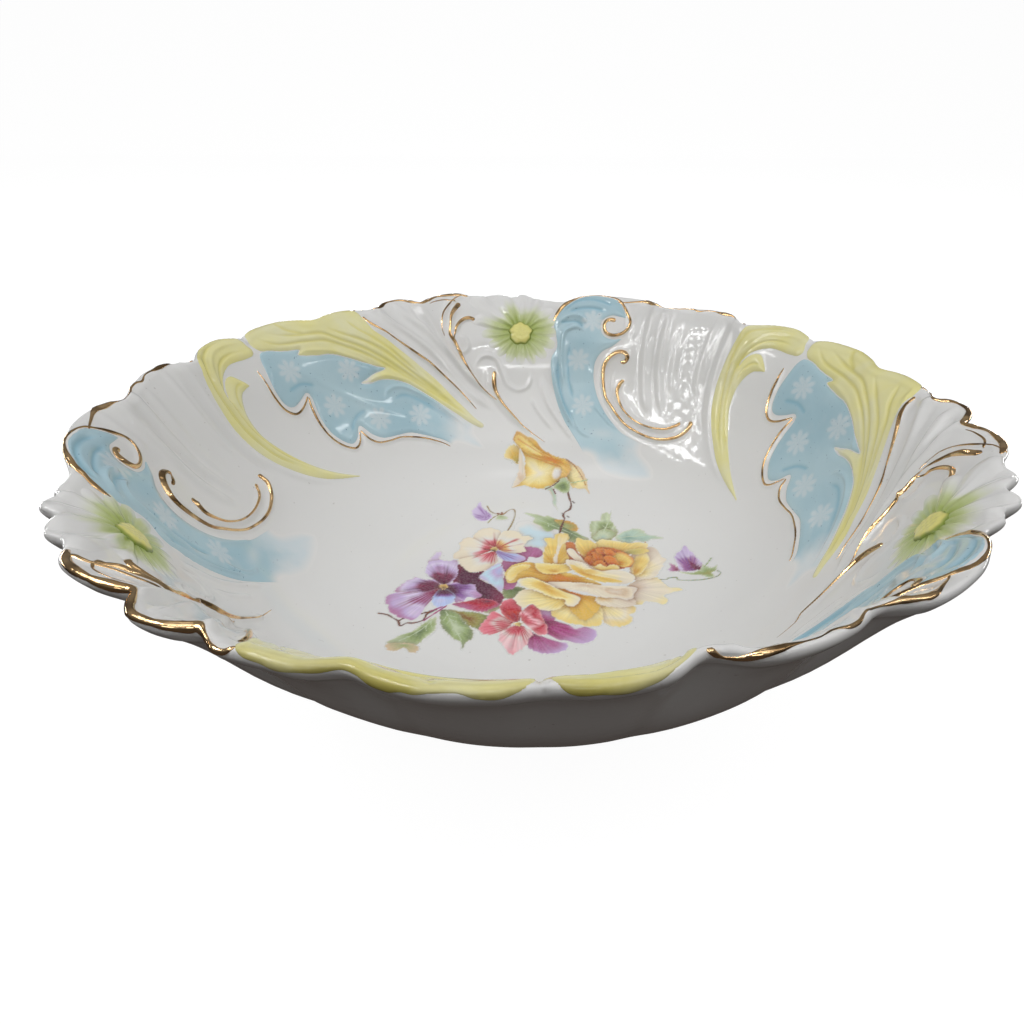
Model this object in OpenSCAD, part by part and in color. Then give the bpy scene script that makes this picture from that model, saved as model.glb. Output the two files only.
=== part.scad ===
/* [Bowl] */
// Radius of the rim, before its scallops
rim_r = 126; // [122:1:130]
// Height of the rim above the table
rim_z = 76; // [74:1:80]
// Radius of the flat floor inside the bowl
well_r = 52; // [48:1:54]
// Height of the inside floor above the table
well_z = 8.4; // [7.5:0.1:9]
// How strongly the rim scallops and notches stand out (1 as made)
scallop = 1; // [0.5:0.1:1.2]

/* [Foot] */
// Outer radius of the foot ring
foot_r = 61; // [58:0.5:62]
// Width of the flat that the bowl rests on
foot_w = 5; // [4:0.5:7]
// Height of the foot ring
foot_h = 3.4; // [2.5:0.1:4]

/* [Decoration] */
// Thickness of the coloured enamel at its edges
enamel_t = 0.35; // [0.25:0.05:0.6]
// Extra height of the moulded leaves and scrolls at their middle
relief_t = 0.9; // [0.4:0.1:1.4]
// Height of the daisy petals above the wall
petal_t = 1.6; // [1:0.1:2]
// Half width of the widest gilt line
gilt_w = 0.9; // [0.6:0.1:1.2]
// Height of the gilt lines
gilt_t = 0.6; // [0.4:0.1:0.9]
// Thickness of the printed flowers in the well
print_t = 0.3; // [0.2:0.05:0.4]

/* [Hidden] */

// The decoration repeats three times. Places on the wall are written [c, r]: c is the angle in
// degrees clockwise from the sector's daisy, seen from above, and r the radius in mm.
sector = 120;
sector_start = -31;
smooth_n = 120;
// Degrees in one radian, for a width in mm across the wall
arc_deg = 180 / PI;

// Profile of the inside, from the middle to the rim, as [radius, height].
inner_profile = [
    [0, well_z], [well_r - 8, well_z], [well_r, well_z + 0.1], [64, 10.4], [76, 14.8], [88, 23],
    [100, 37], [108, 49], [114, 60.3], [118.5, 67.6], [122.5, rim_z - 3.2], [rim_r, rim_z]];
// Profile of the outside, from the foot to the rim.
outer_profile = [
    [foot_r, foot_h], [64, 4.6], [72, 8.2], [82, 14.4], [94, 25], [104, 37.2], [110, 46.2],
    [116, 57], [120.5, 64.6], [124.5, 70.2], [rim_r + 0.9, rim_z - 2.8]];
// The rim in one sector: angle, radius over or under rim_r, height over or under rim_z.
rim_line = [
    [-31, 3.5, -1.2], [-28.5, 1.5, -1], [-24.5, 6, 0.4], [-19.5, 1.5, -0.6], [-15, 5.5, 0.6],
    [-11, 7, 0.8], [-7, 4, -0.3], [-4, 6.6, -0.2], [-0.8, 3.6, -0.6], [2.2, 6.4, -0.4],
    [4.6, 3, -1.4], [6.3, 3.6, -1.8], [10, 0.8, -1.6], [15, 3, 0.6], [20, 4.5, 1.2],
    [27, 3.5, 1], [31.5, -1.5, 0.2], [36, 0.5, 0.6], [41, 2, 1.4], [45, 1, 1], [49, -3.5, 0],
    [53, 1, 0.4], [58, 3, 0.8], [62.4, 1.5, -0.4], [66, 3.5, 0.2], [71, 4.5, 0.4],
    [75, 2.5, -0.6], [78.2, -1.5, -2], [81.5, 3, -0.6], [85, 3.5, -0.4], [89, 3.5, -1.2]];
// Lean of the daisy's boss towards the middle of the bowl
boss_tilt = 50;
// Base radius where the scallops start to shape the wall
flute_start = 84;
// Columns of the wall's mesh in one sector, closer together across the daisy's petals
columns = concat(
    [for (i = [0:5]) sector_start + i * 16.6 / 6],
    [for (i = [0:16]) -14.4 + i * 1.4],
    [for (i = [0:25]) 9.4 + i * 79.6 / 26]);
inner_rows = [28, 46, 52, 58, 64, 71, 78, 85, 91, 97, 102, 107, 111, 115, 118.5, 121.5, 124.2,
    rim_r];
outer_rows = [rim_r + 0.9, 125, 121.5, 117, 111, 103, 94, 84, 74, 66, foot_r];

// A smooth curve through the points p; u runs from 0 to 1.
function spline_step(a, b, c, d, t) =
    0.5 * (2 * b + (c - a) * t + (2 * a - 5 * b + 4 * c - d) * t ^ 2
        + (3 * b - a - 3 * c + d) * t ^ 3);
function along(p, u) =
    let (n = len(p) - 1, i = min(floor(u * n), n - 1))
    spline_step(p[max(i - 1, 0)], p[i], p[i + 1], p[min(i + 2, n)], u * n - i);
function table(p, column) = [for (i = [0:smooth_n])
    let (q = along(p, i / smooth_n)) [q[0], q[column]]];
inner_table = table(inner_profile, 1);
outer_table = table(outer_profile, 1);
rim_out_table = table(rim_line, 1);
rim_up_table = table(rim_line, 2);

function wrap(c) = c - sector * floor((c - sector_start) / sector);
function ramp(x) = let (t = max(0, min(1, x))) t * t * (3 - 2 * t);
// How much of the rim's own shape a place on the wall takes: none in the well, all at the rim
function share(r) = ramp((r - flute_start) / (rim_r - flute_start)) ^ 1.5;
function out_by(c, r) = scallop * share(r) * lookup(wrap(c), rim_out_table);
function up_by(c, r) = scallop * ramp((r - 112) / 14) * lookup(wrap(c), rim_up_table);

// A point in the wall's upright section, as [radius, height]
function inside_at(c, r) = [r + out_by(c, r), lookup(r, inner_table) + up_by(c, r)];
function outside_at(c, r) = [r + out_by(c, r), lookup(r, outer_table) + up_by(c, r)];
function upright(az, q) = [q[0] * cos(az), q[0] * sin(az), q[1]];
// Azimuth of the place c in the sector k: the first daisy is at the back, on +Y
function azimuth(k, c) = 90 - sector * (k - 1) - c;
// A point on the inside of the bowl, lifted by h away from the wall
function surf(k, c, r, h) =
    let (s = inside_at(c, r + 0.5) - inside_at(c, r - 0.5), q = inside_at(c, r))
    upright(azimuth(k, c), q + h * [-s[1], s[0]] / norm(s));

// Closes rings of points into one solid: each ring has n points, and both ends are capped by a fan.
function ring_faces(rings, n) = [
    for (i = [0:rings - 2], j = [0:n - 1]) let (a = i * n + j, b = i * n + (j + 1) % n)
        each [[a, b, b + n], [a, b + n, a + n]]];
function fan(first, n, flip) = [
    for (j = [1:n - 2]) flip ? [first, first + j + 1, first + j] : [first, first + j, first + j + 1]];
// The same for rings that run clockwise, with a point on top and one underneath as the last two points
function dome_faces(rings, n) = concat(
    ring_faces(rings, n),
    [for (j = [0:n - 1]) [rings * n, (rings - 1) * n + j, (rings - 1) * n + (j + 1) % n]],
    [for (j = [0:n - 1]) [rings * n + 1, (j + 1) % n, j]]);

module bowl_body() {
    places = [for (k = [3:-1:1], i = [len(columns) - 1:-1:0]) [azimuth(k, columns[i]), columns[i]]];
    n = len(places);
    rows = len(inner_rows) + len(outer_rows);
    points = concat(
        [for (r = inner_rows, p = places) upright(p[0], inside_at(p[1], r))],
        [for (r = outer_rows, p = places) upright(p[0], outside_at(p[1], r))],
        [[0, 0, well_z], [0, 0, foot_h]]);
    last = (rows - 1) * n;
    color("ghostwhite")
    polyhedron(points, concat(
        ring_faces(rows, n),
        [for (j = [0:n - 1]) [rows * n, (j + 1) % n, j]],
        [for (j = [0:n - 1]) [rows * n + 1, last + j, last + (j + 1) % n]]));
}

module foot_ring() {
    edge = 0.8;
    color("white")
    rotate_extrude($fn = 180)
    polygon([[foot_r - foot_w - edge, foot_h], [foot_r - foot_w, 0], [foot_r - edge, 0],
        [foot_r, edge], [foot_r, foot_h]]);
}

// A patch of enamel between a left and a right edge, thicker at its middle by swell.
module patch(k, left, right, swell, nu = 16, nv = 4) {
    across = [for (j = [0:nv]) j / nv];
    n = 2 * (nv + 1);
    function place(u, v) = along(left, u) * (1 - v) + along(right, u) * v;
    function top(v) = enamel_t + swell * sin(180 * v);
    points = [for (i = [0:nu]) each concat(
        [for (v = across) let (p = place(i / nu, v)) surf(k, p[0], p[1], top(v))],
        [for (j = [nv:-1:0]) let (p = place(i / nu, j / nv)) surf(k, p[0], p[1], 0)])];
    polyhedron(points, concat(
        ring_faces(nu + 1, n), fan(0, n, true), fan(nu * n, n, false)));
}

// A raised line along a path, with a round top that thins towards both ends.
module line(k, path, width = gilt_w, height = gilt_t, steps = 20, ends = 0.25) {
    n = 5;
    points = [for (i = [0:steps])
        let (u = i / steps, p = along(path, u), a = along(path, max(0, u - 0.02)),
            b = along(path, min(1, u + 0.02)), bend = p[1] / arc_deg,
            d = [(b[0] - a[0]) * bend, b[1] - a[1]], side = [-d[1], d[0]] / norm(d),
            w = width * (ends + (1 - ends) * sin(180 * u) ^ 0.5))
        for (q = [[-1, 0], [-0.65, 0.85], [0, 1], [0.65, 0.85], [1, 0]])
            surf(k, p[0] + side[0] * w * q[0] / bend, p[1] + side[1] * w * q[0],
                height * q[1])];
    polyhedron(points, concat(
        ring_faces(steps + 1, n), fan(0, n, true), fan(steps * n, n, false)));
}

// A round-topped drop of enamel or gilding on the wall
module drop(k, c, r, size, height) {
    n = 10;
    points = concat(
        [for (q = [[1, 0], [0.8, 0.7]], j = [0:n - 1]) let (a = -j * 360 / n, s = size * q[0])
            surf(k, c + s * cos(a) * arc_deg / r, r + s * sin(a) * 0.7, height * q[1])],
        [surf(k, c, r, height), surf(k, c, r, 0)]);
    polyhedron(points, dome_faces(2, n));
}

// Twelve rounded petals around the boss; the outer ones end on the rim's scallops.
module daisy(k) {
    petals = 12;
    n = petals * 4;
    rings = [[0.5, 0], [1, 0], [0.94, 0.75], [0.55, 0.55], [0.3, 0.8]];
    function reach(a) = 14.5 - (a < 180 ? 5.6 : -4) * sin(a);
    function lobe(a, q) = 1 - 0.13 * q * (1 + cos(petals * a + 180)) / 2;
    points = concat(
        [for (q = rings, j = [0:n - 1]) let (a = 360 - j * 360 / n, s = reach(a) * q[0] * lobe(a, q[0]))
            surf(k, s * cos(a) * arc_deg / 117, 116.5 + s * sin(a),
                petal_t * q[1] * (q[1] == 0 ? 0 : 0.8 - 0.2 * cos(petals * a)))],
        [surf(k, 0, 116.5, petal_t * 0.6), surf(k, 0, 116.5, 0)]);
    color("honeydew")
    polyhedron(points, dome_faces(len(rings), n));
}

module daisy_boss(k) {
    color("khaki")
    translate(surf(k, 0, 117, petal_t * 0.75))
    rotate([0, boss_tilt, azimuth(k, 0) + 180])
    rotate_extrude($fn = 32)
    polygon([[0, -0.6], [4.6, -0.6], [4.8, 0.2], [4, 1.2], [2.4, 1.9], [0, 2.1]]);
}

// The S-shaped scroll beside the daisy, from its curl at the rim down into the well
module blue_scroll(k) {
    color("lightblue")
    patch(k,
        [[17, 125], [11, 123], [8.8, 118], [8.8, 110], [10, 102], [12.5, 95], [16, 89], [20, 83.5]],
        [[17.6, 125.2], [23, 123.5], [24.2, 118], [20.8, 112], [19.8, 105], [22, 99.5], [25, 94],
            [24.5, 85]],
        relief_t, 18);
}

// The leaf panel under the acanthus; its lower edge has two deep notches.
module blue_leaf(k) {
    color("lightblue")
    patch(k,
        [[62.6, 117.5], [62, 112], [65, 109], [68.7, 109.5], [69.2, 103], [72, 97], [75, 96.5],
            [77.5, 99.5], [79, 96], [83, 94.3], [90, 93.2], [96, 90.6], [100, 87.5]],
        [[64.5, 119.5], [68, 119.2], [71, 118.2], [74, 117], [77, 115.6], [80, 114], [83, 112],
            [86, 109.4], [90, 107.6], [94.5, 105.2], [99, 101], [104, 95], [107.5, 89]],
        relief_t * 0.3, 30);
}

// The ribbed acanthus along the rim, tapering to a tip that runs down towards the well
module yellow_acanthus(k) {
    color("khaki")
    patch(k,
        [[64, 124.6], [65.8, 121], [70, 119], [76, 117.2], [82, 114.2], [88, 110.6], [94, 106.4],
            [100, 101], [105, 97.2], [109, 94.5]],
        [[64.6, 125.2], [70, 125.3], [76, 125], [81, 125.2], [86, 124.6], [89, 119.6], [94, 113.4],
            [100, 106], [105, 99.4], [109.4, 94.2]],
        relief_t, 24);
    color("khaki")
    patch(k, [[82, 108.8], [84, 109.6], [88, 109.2], [92, 107]],
        [[82, 109.4], [84.6, 110.8], [88, 110.6], [90.6, 109.4]], relief_t * 0.3, 8, 3);
}

// The long curved leaf with a small curled leaflet on its inner side
module yellow_leaf(k) {
    color("khaki")
    patch(k,
        [[60.6, 125], [54.5, 125.3], [50, 121], [48.6, 114], [50, 106.5], [54, 99], [60, 92.6],
            [66, 88.8], [71, 87]],
        [[61.4, 121], [57.4, 121], [53.6, 118.4], [52, 113], [53.4, 106.6], [57, 99.6], [62, 93.6],
            [67, 89.4], [71.2, 87.4]],
        relief_t, 24);
    color("khaki")
    patch(k, [[58, 113.6], [57.2, 116.6], [55, 117.6], [53.8, 114]],
        [[56.8, 113.8], [56, 115], [55, 115.2], [54, 111.4]], relief_t * 0.4, 8, 3);
}

module scroll_gilding(k) {
    color("goldenrod") {
        // the large C-scroll with its hook, and the shorter one inside it
        line(k, [[25.6, 111.2], [24.4, 113], [22, 112.4], [20.9, 109], [21.6, 104.5], [23.6, 100],
            [27, 96.6], [31.5, 94.2], [36.5, 93.2], [41, 94], [44.6, 96.6], [46.2, 100.4]],
            gilt_w, gilt_t, 22, 0.7);
        line(k, [[25.8, 106.4], [25.8, 103.6], [27.4, 100.4], [30.6, 97.8], [35, 96.5],
            [39.6, 97], [43, 99.8]], gilt_w * 0.8, gilt_t, 16, 0.7);
        drop(k, 25.8, 107, 1.3, 1);
        drop(k, 43.4, 100.2, 1.4, 1);
        drop(k, 46.2, 100.8, 1.4, 1);
        // the curl of the blue scroll
        line(k, [[24.6, 121.6], [24.4, 118.4], [22.4, 116.4], [20.2, 117.2], [19.9, 119.6],
            [21.4, 120.6]], gilt_w * 0.7, gilt_t, 14, 0.6);
        // the scroll group on the other side of the daisy
        line(k, [[-12.2, 124.6], [-14.4, 120], [-14, 115], [-12, 110], [-9.5, 105], [-6, 100.6],
            [-2, 95.6], [3.6, 91]], gilt_w * 0.7, gilt_t, 20, 0.4);
        line(k, [[-9.6, 120.4], [-11.2, 121], [-12.6, 119.4], [-13.4, 116.4]],
            gilt_w * 0.7, gilt_t, 8, 0.6);
        drop(k, -5.2, 106.4, 1.4, 1);
        line(k, [[-5, 105], [-4.8, 102.4], [-3.6, 99]], gilt_w * 0.6, gilt_t, 6, 0.4);
    }
}

module leaf_gilding(k) {
    color("goldenrod") {
        // three strokes around the lobes of the blue leaf
        line(k, [[61.2, 117.5], [60.9, 113], [62.4, 109.4], [65, 107.8], [68.4, 109.4]],
            gilt_w * 0.6, gilt_t, 12, 0.5);
        line(k, [[68.8, 109.4], [68.4, 105.6], [69.2, 101], [71.4, 96.8], [74, 95.6],
            [77, 99]], gilt_w * 0.6, gilt_t, 14, 0.5);
        line(k, [[77.6, 99.4], [78.8, 96], [81.6, 93.9], [86, 93.4], [91, 92.6], [95.6, 90.4],
            [99.6, 87.4]], gilt_w * 0.6, gilt_t, 16, 0.5);
        // the line beside the acanthus
        line(k, [[88.8, 124.6], [90.6, 119.8], [94.4, 115], [98.6, 110.6], [103, 105.6],
            [108, 98.6]], gilt_w * 0.6, gilt_t, 16, 0.4);
    }
}

module rim_gilding(k) {
    color("goldenrod") {
        line(k, [[-32.5, 124.8], [-28.5, 124.9], [-24.5, 124.8], [-19.5, 124.9], [-15, 124.8],
            [-10, 124.8]], gilt_w * 1.2, gilt_t, 20, 0.5);
        line(k, [[8.8, 117], [9.2, 121], [11.6, 124], [16, 124.9], [22, 124.9], [27, 124.9],
            [31.5, 124.9], [37, 124.9], [43, 124.9], [48.6, 124.6]], gilt_w * 1.2, gilt_t, 30, 0.5);
    }
}

// A printed blossom in the well, centred on [x, y], with lobes round its edge.
module blossom(x, y, size, lobes, depth, turn = 0) {
    n = 24;
    function floor_at(p) = lookup(norm(p), inner_table);
    function spot(j, s, h) =
        let (a = -j * 360 / n, d = s * size * (1 + depth * cos(lobes * (a - turn))),
            p = [x + d * cos(a), y + d * sin(a)]) [p[0], p[1], floor_at(p) + h];
    points = concat(
        [for (j = [0:n - 1]) spot(j, 1, 0)],
        [for (j = [0:n - 1]) spot(j, 1, print_t)],
        [for (j = [0:n - 1]) spot(j, 0.5, print_t)],
        [[x, y, floor_at([x, y]) + print_t], [x, y, floor_at([x, y])]]);
    polyhedron(points, dome_faces(3, n));
}

module printed_rose() {
    color("khaki")
    blossom(24, -1, 24.5, 7, 0.06);
}

module printed_rosebud() {
    color("gold")
    patch(1, [[0.6, 90], [-3.6, 84], [-2.6, 77], [-1.6, 70], [-1.4, 65]],
        [[2.4, 89.4], [10, 83], [17, 78], [20, 71], [14, 64.6]], 0, 10, 5);
}

module printed_white_pansy() {
    color("antiquewhite")
    blossom(-14.5, 19, 14, 5, 0.08, 20);
}

module printed_violet_pansy() {
    color("mediumpurple")
    blossom(-31, -8, 16, 5, 0.1, 50);
}

module printed_pink_pansy() {
    color("palevioletred")
    blossom(-3, -29, 13.5, 5, 0.1, 10);
}

module printed_leaves() {
    color("darkseagreen") {
        blossom(33, 32, 7, 4, 0.2, 30);
        blossom(8, 36, 7, 3, 0.2, 60);
        blossom(-24, -31, 7, 3, 0.2, 40);
        blossom(-38, -32, 7, 3, 0.2, 10);
    }
}

bowl_body();
foot_ring();
daisy(1);  // daisy_1
daisy(2);  // daisy_2
daisy(3);  // daisy_3
daisy_boss(1);  // daisy_boss_1
daisy_boss(2);  // daisy_boss_2
daisy_boss(3);  // daisy_boss_3
blue_scroll(1);  // blue_scroll_1
blue_scroll(2);  // blue_scroll_2
blue_scroll(3);  // blue_scroll_3
blue_leaf(1);  // blue_leaf_1
blue_leaf(2);  // blue_leaf_2
blue_leaf(3);  // blue_leaf_3
yellow_acanthus(1);  // yellow_acanthus_1
yellow_acanthus(2);  // yellow_acanthus_2
yellow_acanthus(3);  // yellow_acanthus_3
yellow_leaf(1);  // yellow_leaf_1
yellow_leaf(2);  // yellow_leaf_2
yellow_leaf(3);  // yellow_leaf_3
scroll_gilding(1);  // scroll_gilding_1
scroll_gilding(2);  // scroll_gilding_2
scroll_gilding(3);  // scroll_gilding_3
leaf_gilding(1);  // leaf_gilding_1
leaf_gilding(2);  // leaf_gilding_2
leaf_gilding(3);  // leaf_gilding_3
rim_gilding(1);  // rim_gilding_1
rim_gilding(2);  // rim_gilding_2
rim_gilding(3);  // rim_gilding_3
printed_rose();
printed_rosebud();
printed_white_pansy();
printed_violet_pansy();
printed_pink_pansy();
printed_leaves();
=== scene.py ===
import math
from functools import partial

import bpy
import numpy as np
from mathutils import Matrix, Vector
from mathutils.geometry import delaunay_2d_cdt


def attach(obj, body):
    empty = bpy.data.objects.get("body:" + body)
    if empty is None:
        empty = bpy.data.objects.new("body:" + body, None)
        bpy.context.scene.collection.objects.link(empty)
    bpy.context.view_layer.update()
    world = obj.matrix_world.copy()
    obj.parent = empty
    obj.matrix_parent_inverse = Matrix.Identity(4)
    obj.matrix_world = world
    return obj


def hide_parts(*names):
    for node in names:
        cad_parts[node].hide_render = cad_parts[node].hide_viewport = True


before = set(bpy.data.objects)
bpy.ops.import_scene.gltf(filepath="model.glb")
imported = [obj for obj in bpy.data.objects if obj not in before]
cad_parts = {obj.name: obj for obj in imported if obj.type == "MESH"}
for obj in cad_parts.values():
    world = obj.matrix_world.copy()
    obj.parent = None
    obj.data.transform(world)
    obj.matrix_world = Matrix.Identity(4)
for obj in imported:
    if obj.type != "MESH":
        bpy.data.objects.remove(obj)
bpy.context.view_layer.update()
ROOT = "root"

# ---------------------------------------------------------------- places on the bowl, in mm
# The decoration repeats three times. A place is (c, r): c in degrees clockwise from the sector's
# daisy, seen from above, and r the radius. Past the rim's edge r goes on over the rounded lip.
SECTOR = 120.0
START = -31.0
DEG = math.pi / 180
RIM_R, RIM_Z = 126.0, 76.0
WELL_R, WELL_Z = 44.0, 8.4
FOOT_R, FOOT_H = 61.0, 3.4
UNDERSIDE = (54.0, 40.0, 20.0, 6.0)
# Where the rim's scallops begin to show: in the inside, the outside and the wall's height.
FLARE_START, OUTSIDE_START, RISE_START = 110.0, 82.0, 112.0
FLARE = RIM_R - FLARE_START
# The lip reaches LIP_R at most, and lengths along the wall are counted up to LAST_R.
LIP_R, LAST_R = 132.0, 150.0
# The slope of the wall is taken over this distance to either side of a row.
NEAR = 0.25

INNER = [(0, WELL_Z), (WELL_R, WELL_Z), (52, 8.5), (64, 10.4), (76, 14.8), (88, 23), (100, 37),
         (108, 49), (114, 60.3), (118.5, 67.6), (122.5, 72.8), (RIM_R, RIM_Z)]
OUTER = [(FOOT_R, FOOT_H), (64, 4.6), (72, 8.2), (82, 14.4), (94, 25), (104, 37.2), (110, 46.2),
         (116, 57), (120.5, 64.6), (124.5, 70.2), (126.9, 73.2)]
# The rounded lip, from the rim's inner edge over to the outside, beside (RIM_R, RIM_Z).
LIP = [(0, 0), (0.45, 0.3), (0.95, 0.4), (1.35, 0.2), (1.65, -0.2), (1.78, -0.75), (1.72, -1.4),
       (1.4, -2.1), (1.0, -2.8), (0.6, -3.4), (0.2, -4.0)]
# The rim in one sector: angle, radius past RIM_R, height past RIM_Z.
RIM_LINE = [
    (-31, 1.9, -1.5), (-28.5, -0.1, -1.3), (-26.4, 3.2, -0.2), (-23.2, 4.6, 0.1), (-21, 2.6, -0.4),
    (-19.5, 0, -0.9), (-17.6, 2, -0.2), (-14.8, 4.4, 0.4), (-11, 5.4, 0.5), (-7, 2.4, -0.6),
    (-4, 5, -0.5), (-0.8, 2, -0.9), (2.2, 4.8, -0.7), (4.6, 1.4, -1.7), (6.3, 2, -2.1),
    (10, -0.8, -1.9), (15, 1.4, 0.3), (20, 2.9, 0.9), (27, 1.9, 0.7), (31.5, -3.1, -0.1),
    (36, -1.1, 0.3), (41, 0.4, 1.1), (45, -0.6, 0.7), (49, -5.1, -0.3), (53, -0.6, 0.1),
    (58, 1.4, 0.5), (62.4, -0.1, -0.7), (66, 1.9, -0.1), (71, 2.9, 0.1), (75, 1.1, -0.5),
    (78.2, -1.1, -1.1), (81.5, 1.5, -0.9), (85, 1.9, -0.7), (89, 1.9, -1.5)]


def smooth(points, per=8, closed=False):
    """A smooth curve through the points, with `per` samples from each to the next."""
    p = np.asarray(points, float)
    q = np.vstack([p[-1:], p, p[:2]]) if closed else np.vstack([p[:1], p, p[-1:]])
    t = np.linspace(0, 1, per, endpoint=False)[:, None]
    parts = [0.5 * (2 * b + (c - a) * t + (2 * a - 5 * b + 4 * c - d) * t ** 2
                    + (3 * b - a - 3 * c + d) * t ** 3)
             for a, b, c, d in zip(q, q[1:], q[2:], q[3:])]
    if not closed:
        parts.append(p[-1:])
    return np.vstack(parts)


def looped(path):
    """The closed path, with its first point again at its end."""
    return np.vstack([path, path[:1]])


def run_along(line):
    """The length along a line of points, from its start to each of them."""
    return np.concatenate([[0], np.cumsum(np.hypot(*np.diff(line, axis=0).T))])


def ramp(x):
    """From 0 to 1 with soft ends, as x goes from 0 to 1."""
    x = np.clip(x, 0, 1)
    return x * x * (3 - 2 * x)


INNER_LINE = smooth(INNER, 16)
OUTER_LINE = smooth(OUTER, 12)
LIP_LINE = smooth(LIP, 8)
LIP_RUN = run_along(LIP_LINE)
RIM_SPLINE = smooth(RIM_LINE, 12)
ARC_R = np.append(INNER_LINE[:, 0], LAST_R)
ARC_S = run_along(INNER_LINE)
ARC_S = np.append(ARC_S, ARC_S[-1] + LAST_R - RIM_R)


def wrap(c):
    """The same angle in sector 1."""
    return c - SECTOR * np.floor((c - START) / SECTOR)


def rim_out(c):
    """How far the rim is past RIM_R."""
    return np.interp(wrap(c), RIM_SPLINE[:, 0], RIM_SPLINE[:, 1])


def rim_up(c):
    """How far the rim is over RIM_Z."""
    return np.interp(wrap(c), RIM_SPLINE[:, 0], RIM_SPLINE[:, 2])


def share_out(q):
    """How much of the rim's scallops the inside carries in row q."""
    return np.clip((q - FLARE_START) / FLARE, 0, 1) ** 2


def share_outside(q):
    """The outside carries the rim's scallops further down than the inside does."""
    return np.clip((q - OUTSIDE_START) / (RIM_R - OUTSIDE_START), 0, 1) ** 2.2


def share_up(q):
    """How much of the rim's rise and fall the wall carries in row q."""
    return ramp((q - RISE_START) / (RIM_R - RISE_START))


def arc(r):
    """Length along the inside of the wall, from the middle of the bowl to the radius r."""
    return np.interp(r, ARC_R, ARC_S)


def radius_at(s):
    return np.interp(s, ARC_S, ARC_R)


def row_of(c, r):
    """The row of the wall's section that is at the place (c, r): past RIM_R it is on the lip."""
    o = rim_out(c)
    edge = RIM_R + o
    over = np.maximum(r - FLARE_START, 0)
    u = 2 * over / (FLARE + np.sqrt(np.maximum(FLARE ** 2 + 4 * o * over, 0.01)))
    inside = np.where(r < FLARE_START, r, FLARE_START + FLARE * u)
    return np.where(r > edge, RIM_R + (r - edge), np.minimum(inside, RIM_R))


def place_of(c, q):
    """The r of the place in row q, the other way round from row_of."""
    return q + rim_out(c) * share_out(q)


def section(c, q):
    """Radius and height of the inside and lip."""
    q_in = np.minimum(q, RIM_R)
    over = np.maximum(q - RIM_R, 0)
    r = q_in + rim_out(c) * share_out(q_in) + np.interp(over, LIP_RUN, LIP_LINE[:, 0])
    z = (np.interp(q_in, INNER_LINE[:, 0], INNER_LINE[:, 1]) + rim_up(c) * share_up(q_in)
         + np.interp(over, LIP_RUN, LIP_LINE[:, 1]))
    return r, z


def outer_section(c, q):
    """Radius and height of the outside."""
    r = q + rim_out(c) * share_outside(q)
    z = np.interp(q, OUTER_LINE[:, 0], OUTER_LINE[:, 1]) + rim_up(c) * share_up(q)
    return r, z


def upright(c, r, z):
    """Metres, in sector 1: its daisy is at the back, on +Y."""
    a = (90 - c) * DEG
    return np.stack([r * np.cos(a), r * np.sin(a), z], -1) * 0.001


def lifted(c, q, h):
    """A point in row q, lifted h mm off the base surface, square to its section."""
    r0, z0 = section(c, q - NEAR)
    r1, z1 = section(c, q + NEAR)
    r, z = section(c, q)
    n = np.hypot(r1 - r0, z1 - z0) + 1e-9
    return upright(c, r - h * (z1 - z0) / n, z + h * (r1 - r0) / n)


def on_wall(c, r, h):
    """A point at the place (c, r), h mm above the moulded surface."""
    return lifted(c, row_of(c, r), relief(c, r)[0] + h)


# ---------------------------------------------------------------- distances to drawn lines
def mm_per_degree(r):
    """The width of one degree at the radius r."""
    return DEG * np.minimum(r, LIP_R)


def path_distance(c, s, r, path):
    """Distance in mm to a path of (c, s), and how far along it the nearest point is, 0 to 1."""
    k = mm_per_degree(r)
    best = np.full(c.shape, 1e9)
    at = np.zeros(c.shape)
    steps = len(path) - 1
    for i in range(steps):
        ax, ay = (path[i, 0] - c) * k, path[i, 1] - s
        dx, dy = (path[i + 1, 0] - path[i, 0]) * k, path[i + 1, 1] - path[i, 1]
        t = np.clip(-(ax * dx + ay * dy) / (dx * dx + dy * dy + 1e-12), 0, 1)
        d = np.hypot(ax + t * dx, ay + t * dy)
        nearer = d < best
        best = np.where(nearer, d, best)
        at = np.where(nearer, (i + t) / steps, at)
    return best, at


def flat_distance(x, y, path):
    """The same in a flat plan, where x and y are in mm."""
    return path_distance(x, y, np.full(x.shape, 1 / DEG), path)


def inside_path(x, y, path):
    """Whether points are inside the closed path, by counting crossings."""
    odd = np.zeros(x.shape, bool)
    for (x0, y0), (x1, y1) in zip(path, np.roll(path, -1, axis=0)):
        if y0 != y1:
            crossing = ((y0 > y) != (y1 > y)) & (x < x0 + (y - y0) * (x1 - x0) / (y1 - y0))
            odd ^= crossing
    return odd


def to_arc(points, closed=False):
    """Drawn (c, r) points as a smooth path of (c, s), where s is arc(r)."""
    p = smooth(points, 5, closed)
    return np.stack([p[:, 0], arc(p[:, 1])], -1)


class Relief:
    """A part of the mould. height_at() gives its height, and how far a place is in a groove."""

    def __init__(self, points, closed, reach):
        self.path = to_arc(points, closed)
        self.low, self.high = self.path.min(0) - reach, self.path.max(0) + reach

    def add(self, c, s, r, total, pool_and_shade):
        for shift in (0, -SECTOR, SECTOR):
            x = c + shift
            m = ((x > self.low[0]) & (x < self.high[0]) & (s > self.low[1]) & (s < self.high[1]))
            if m.any():
                height, groove = self.height_at(x[m], s[m], r[m])
                total[m] += height
                pool_and_shade[m] = np.maximum(pool_and_shade[m], groove)


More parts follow.
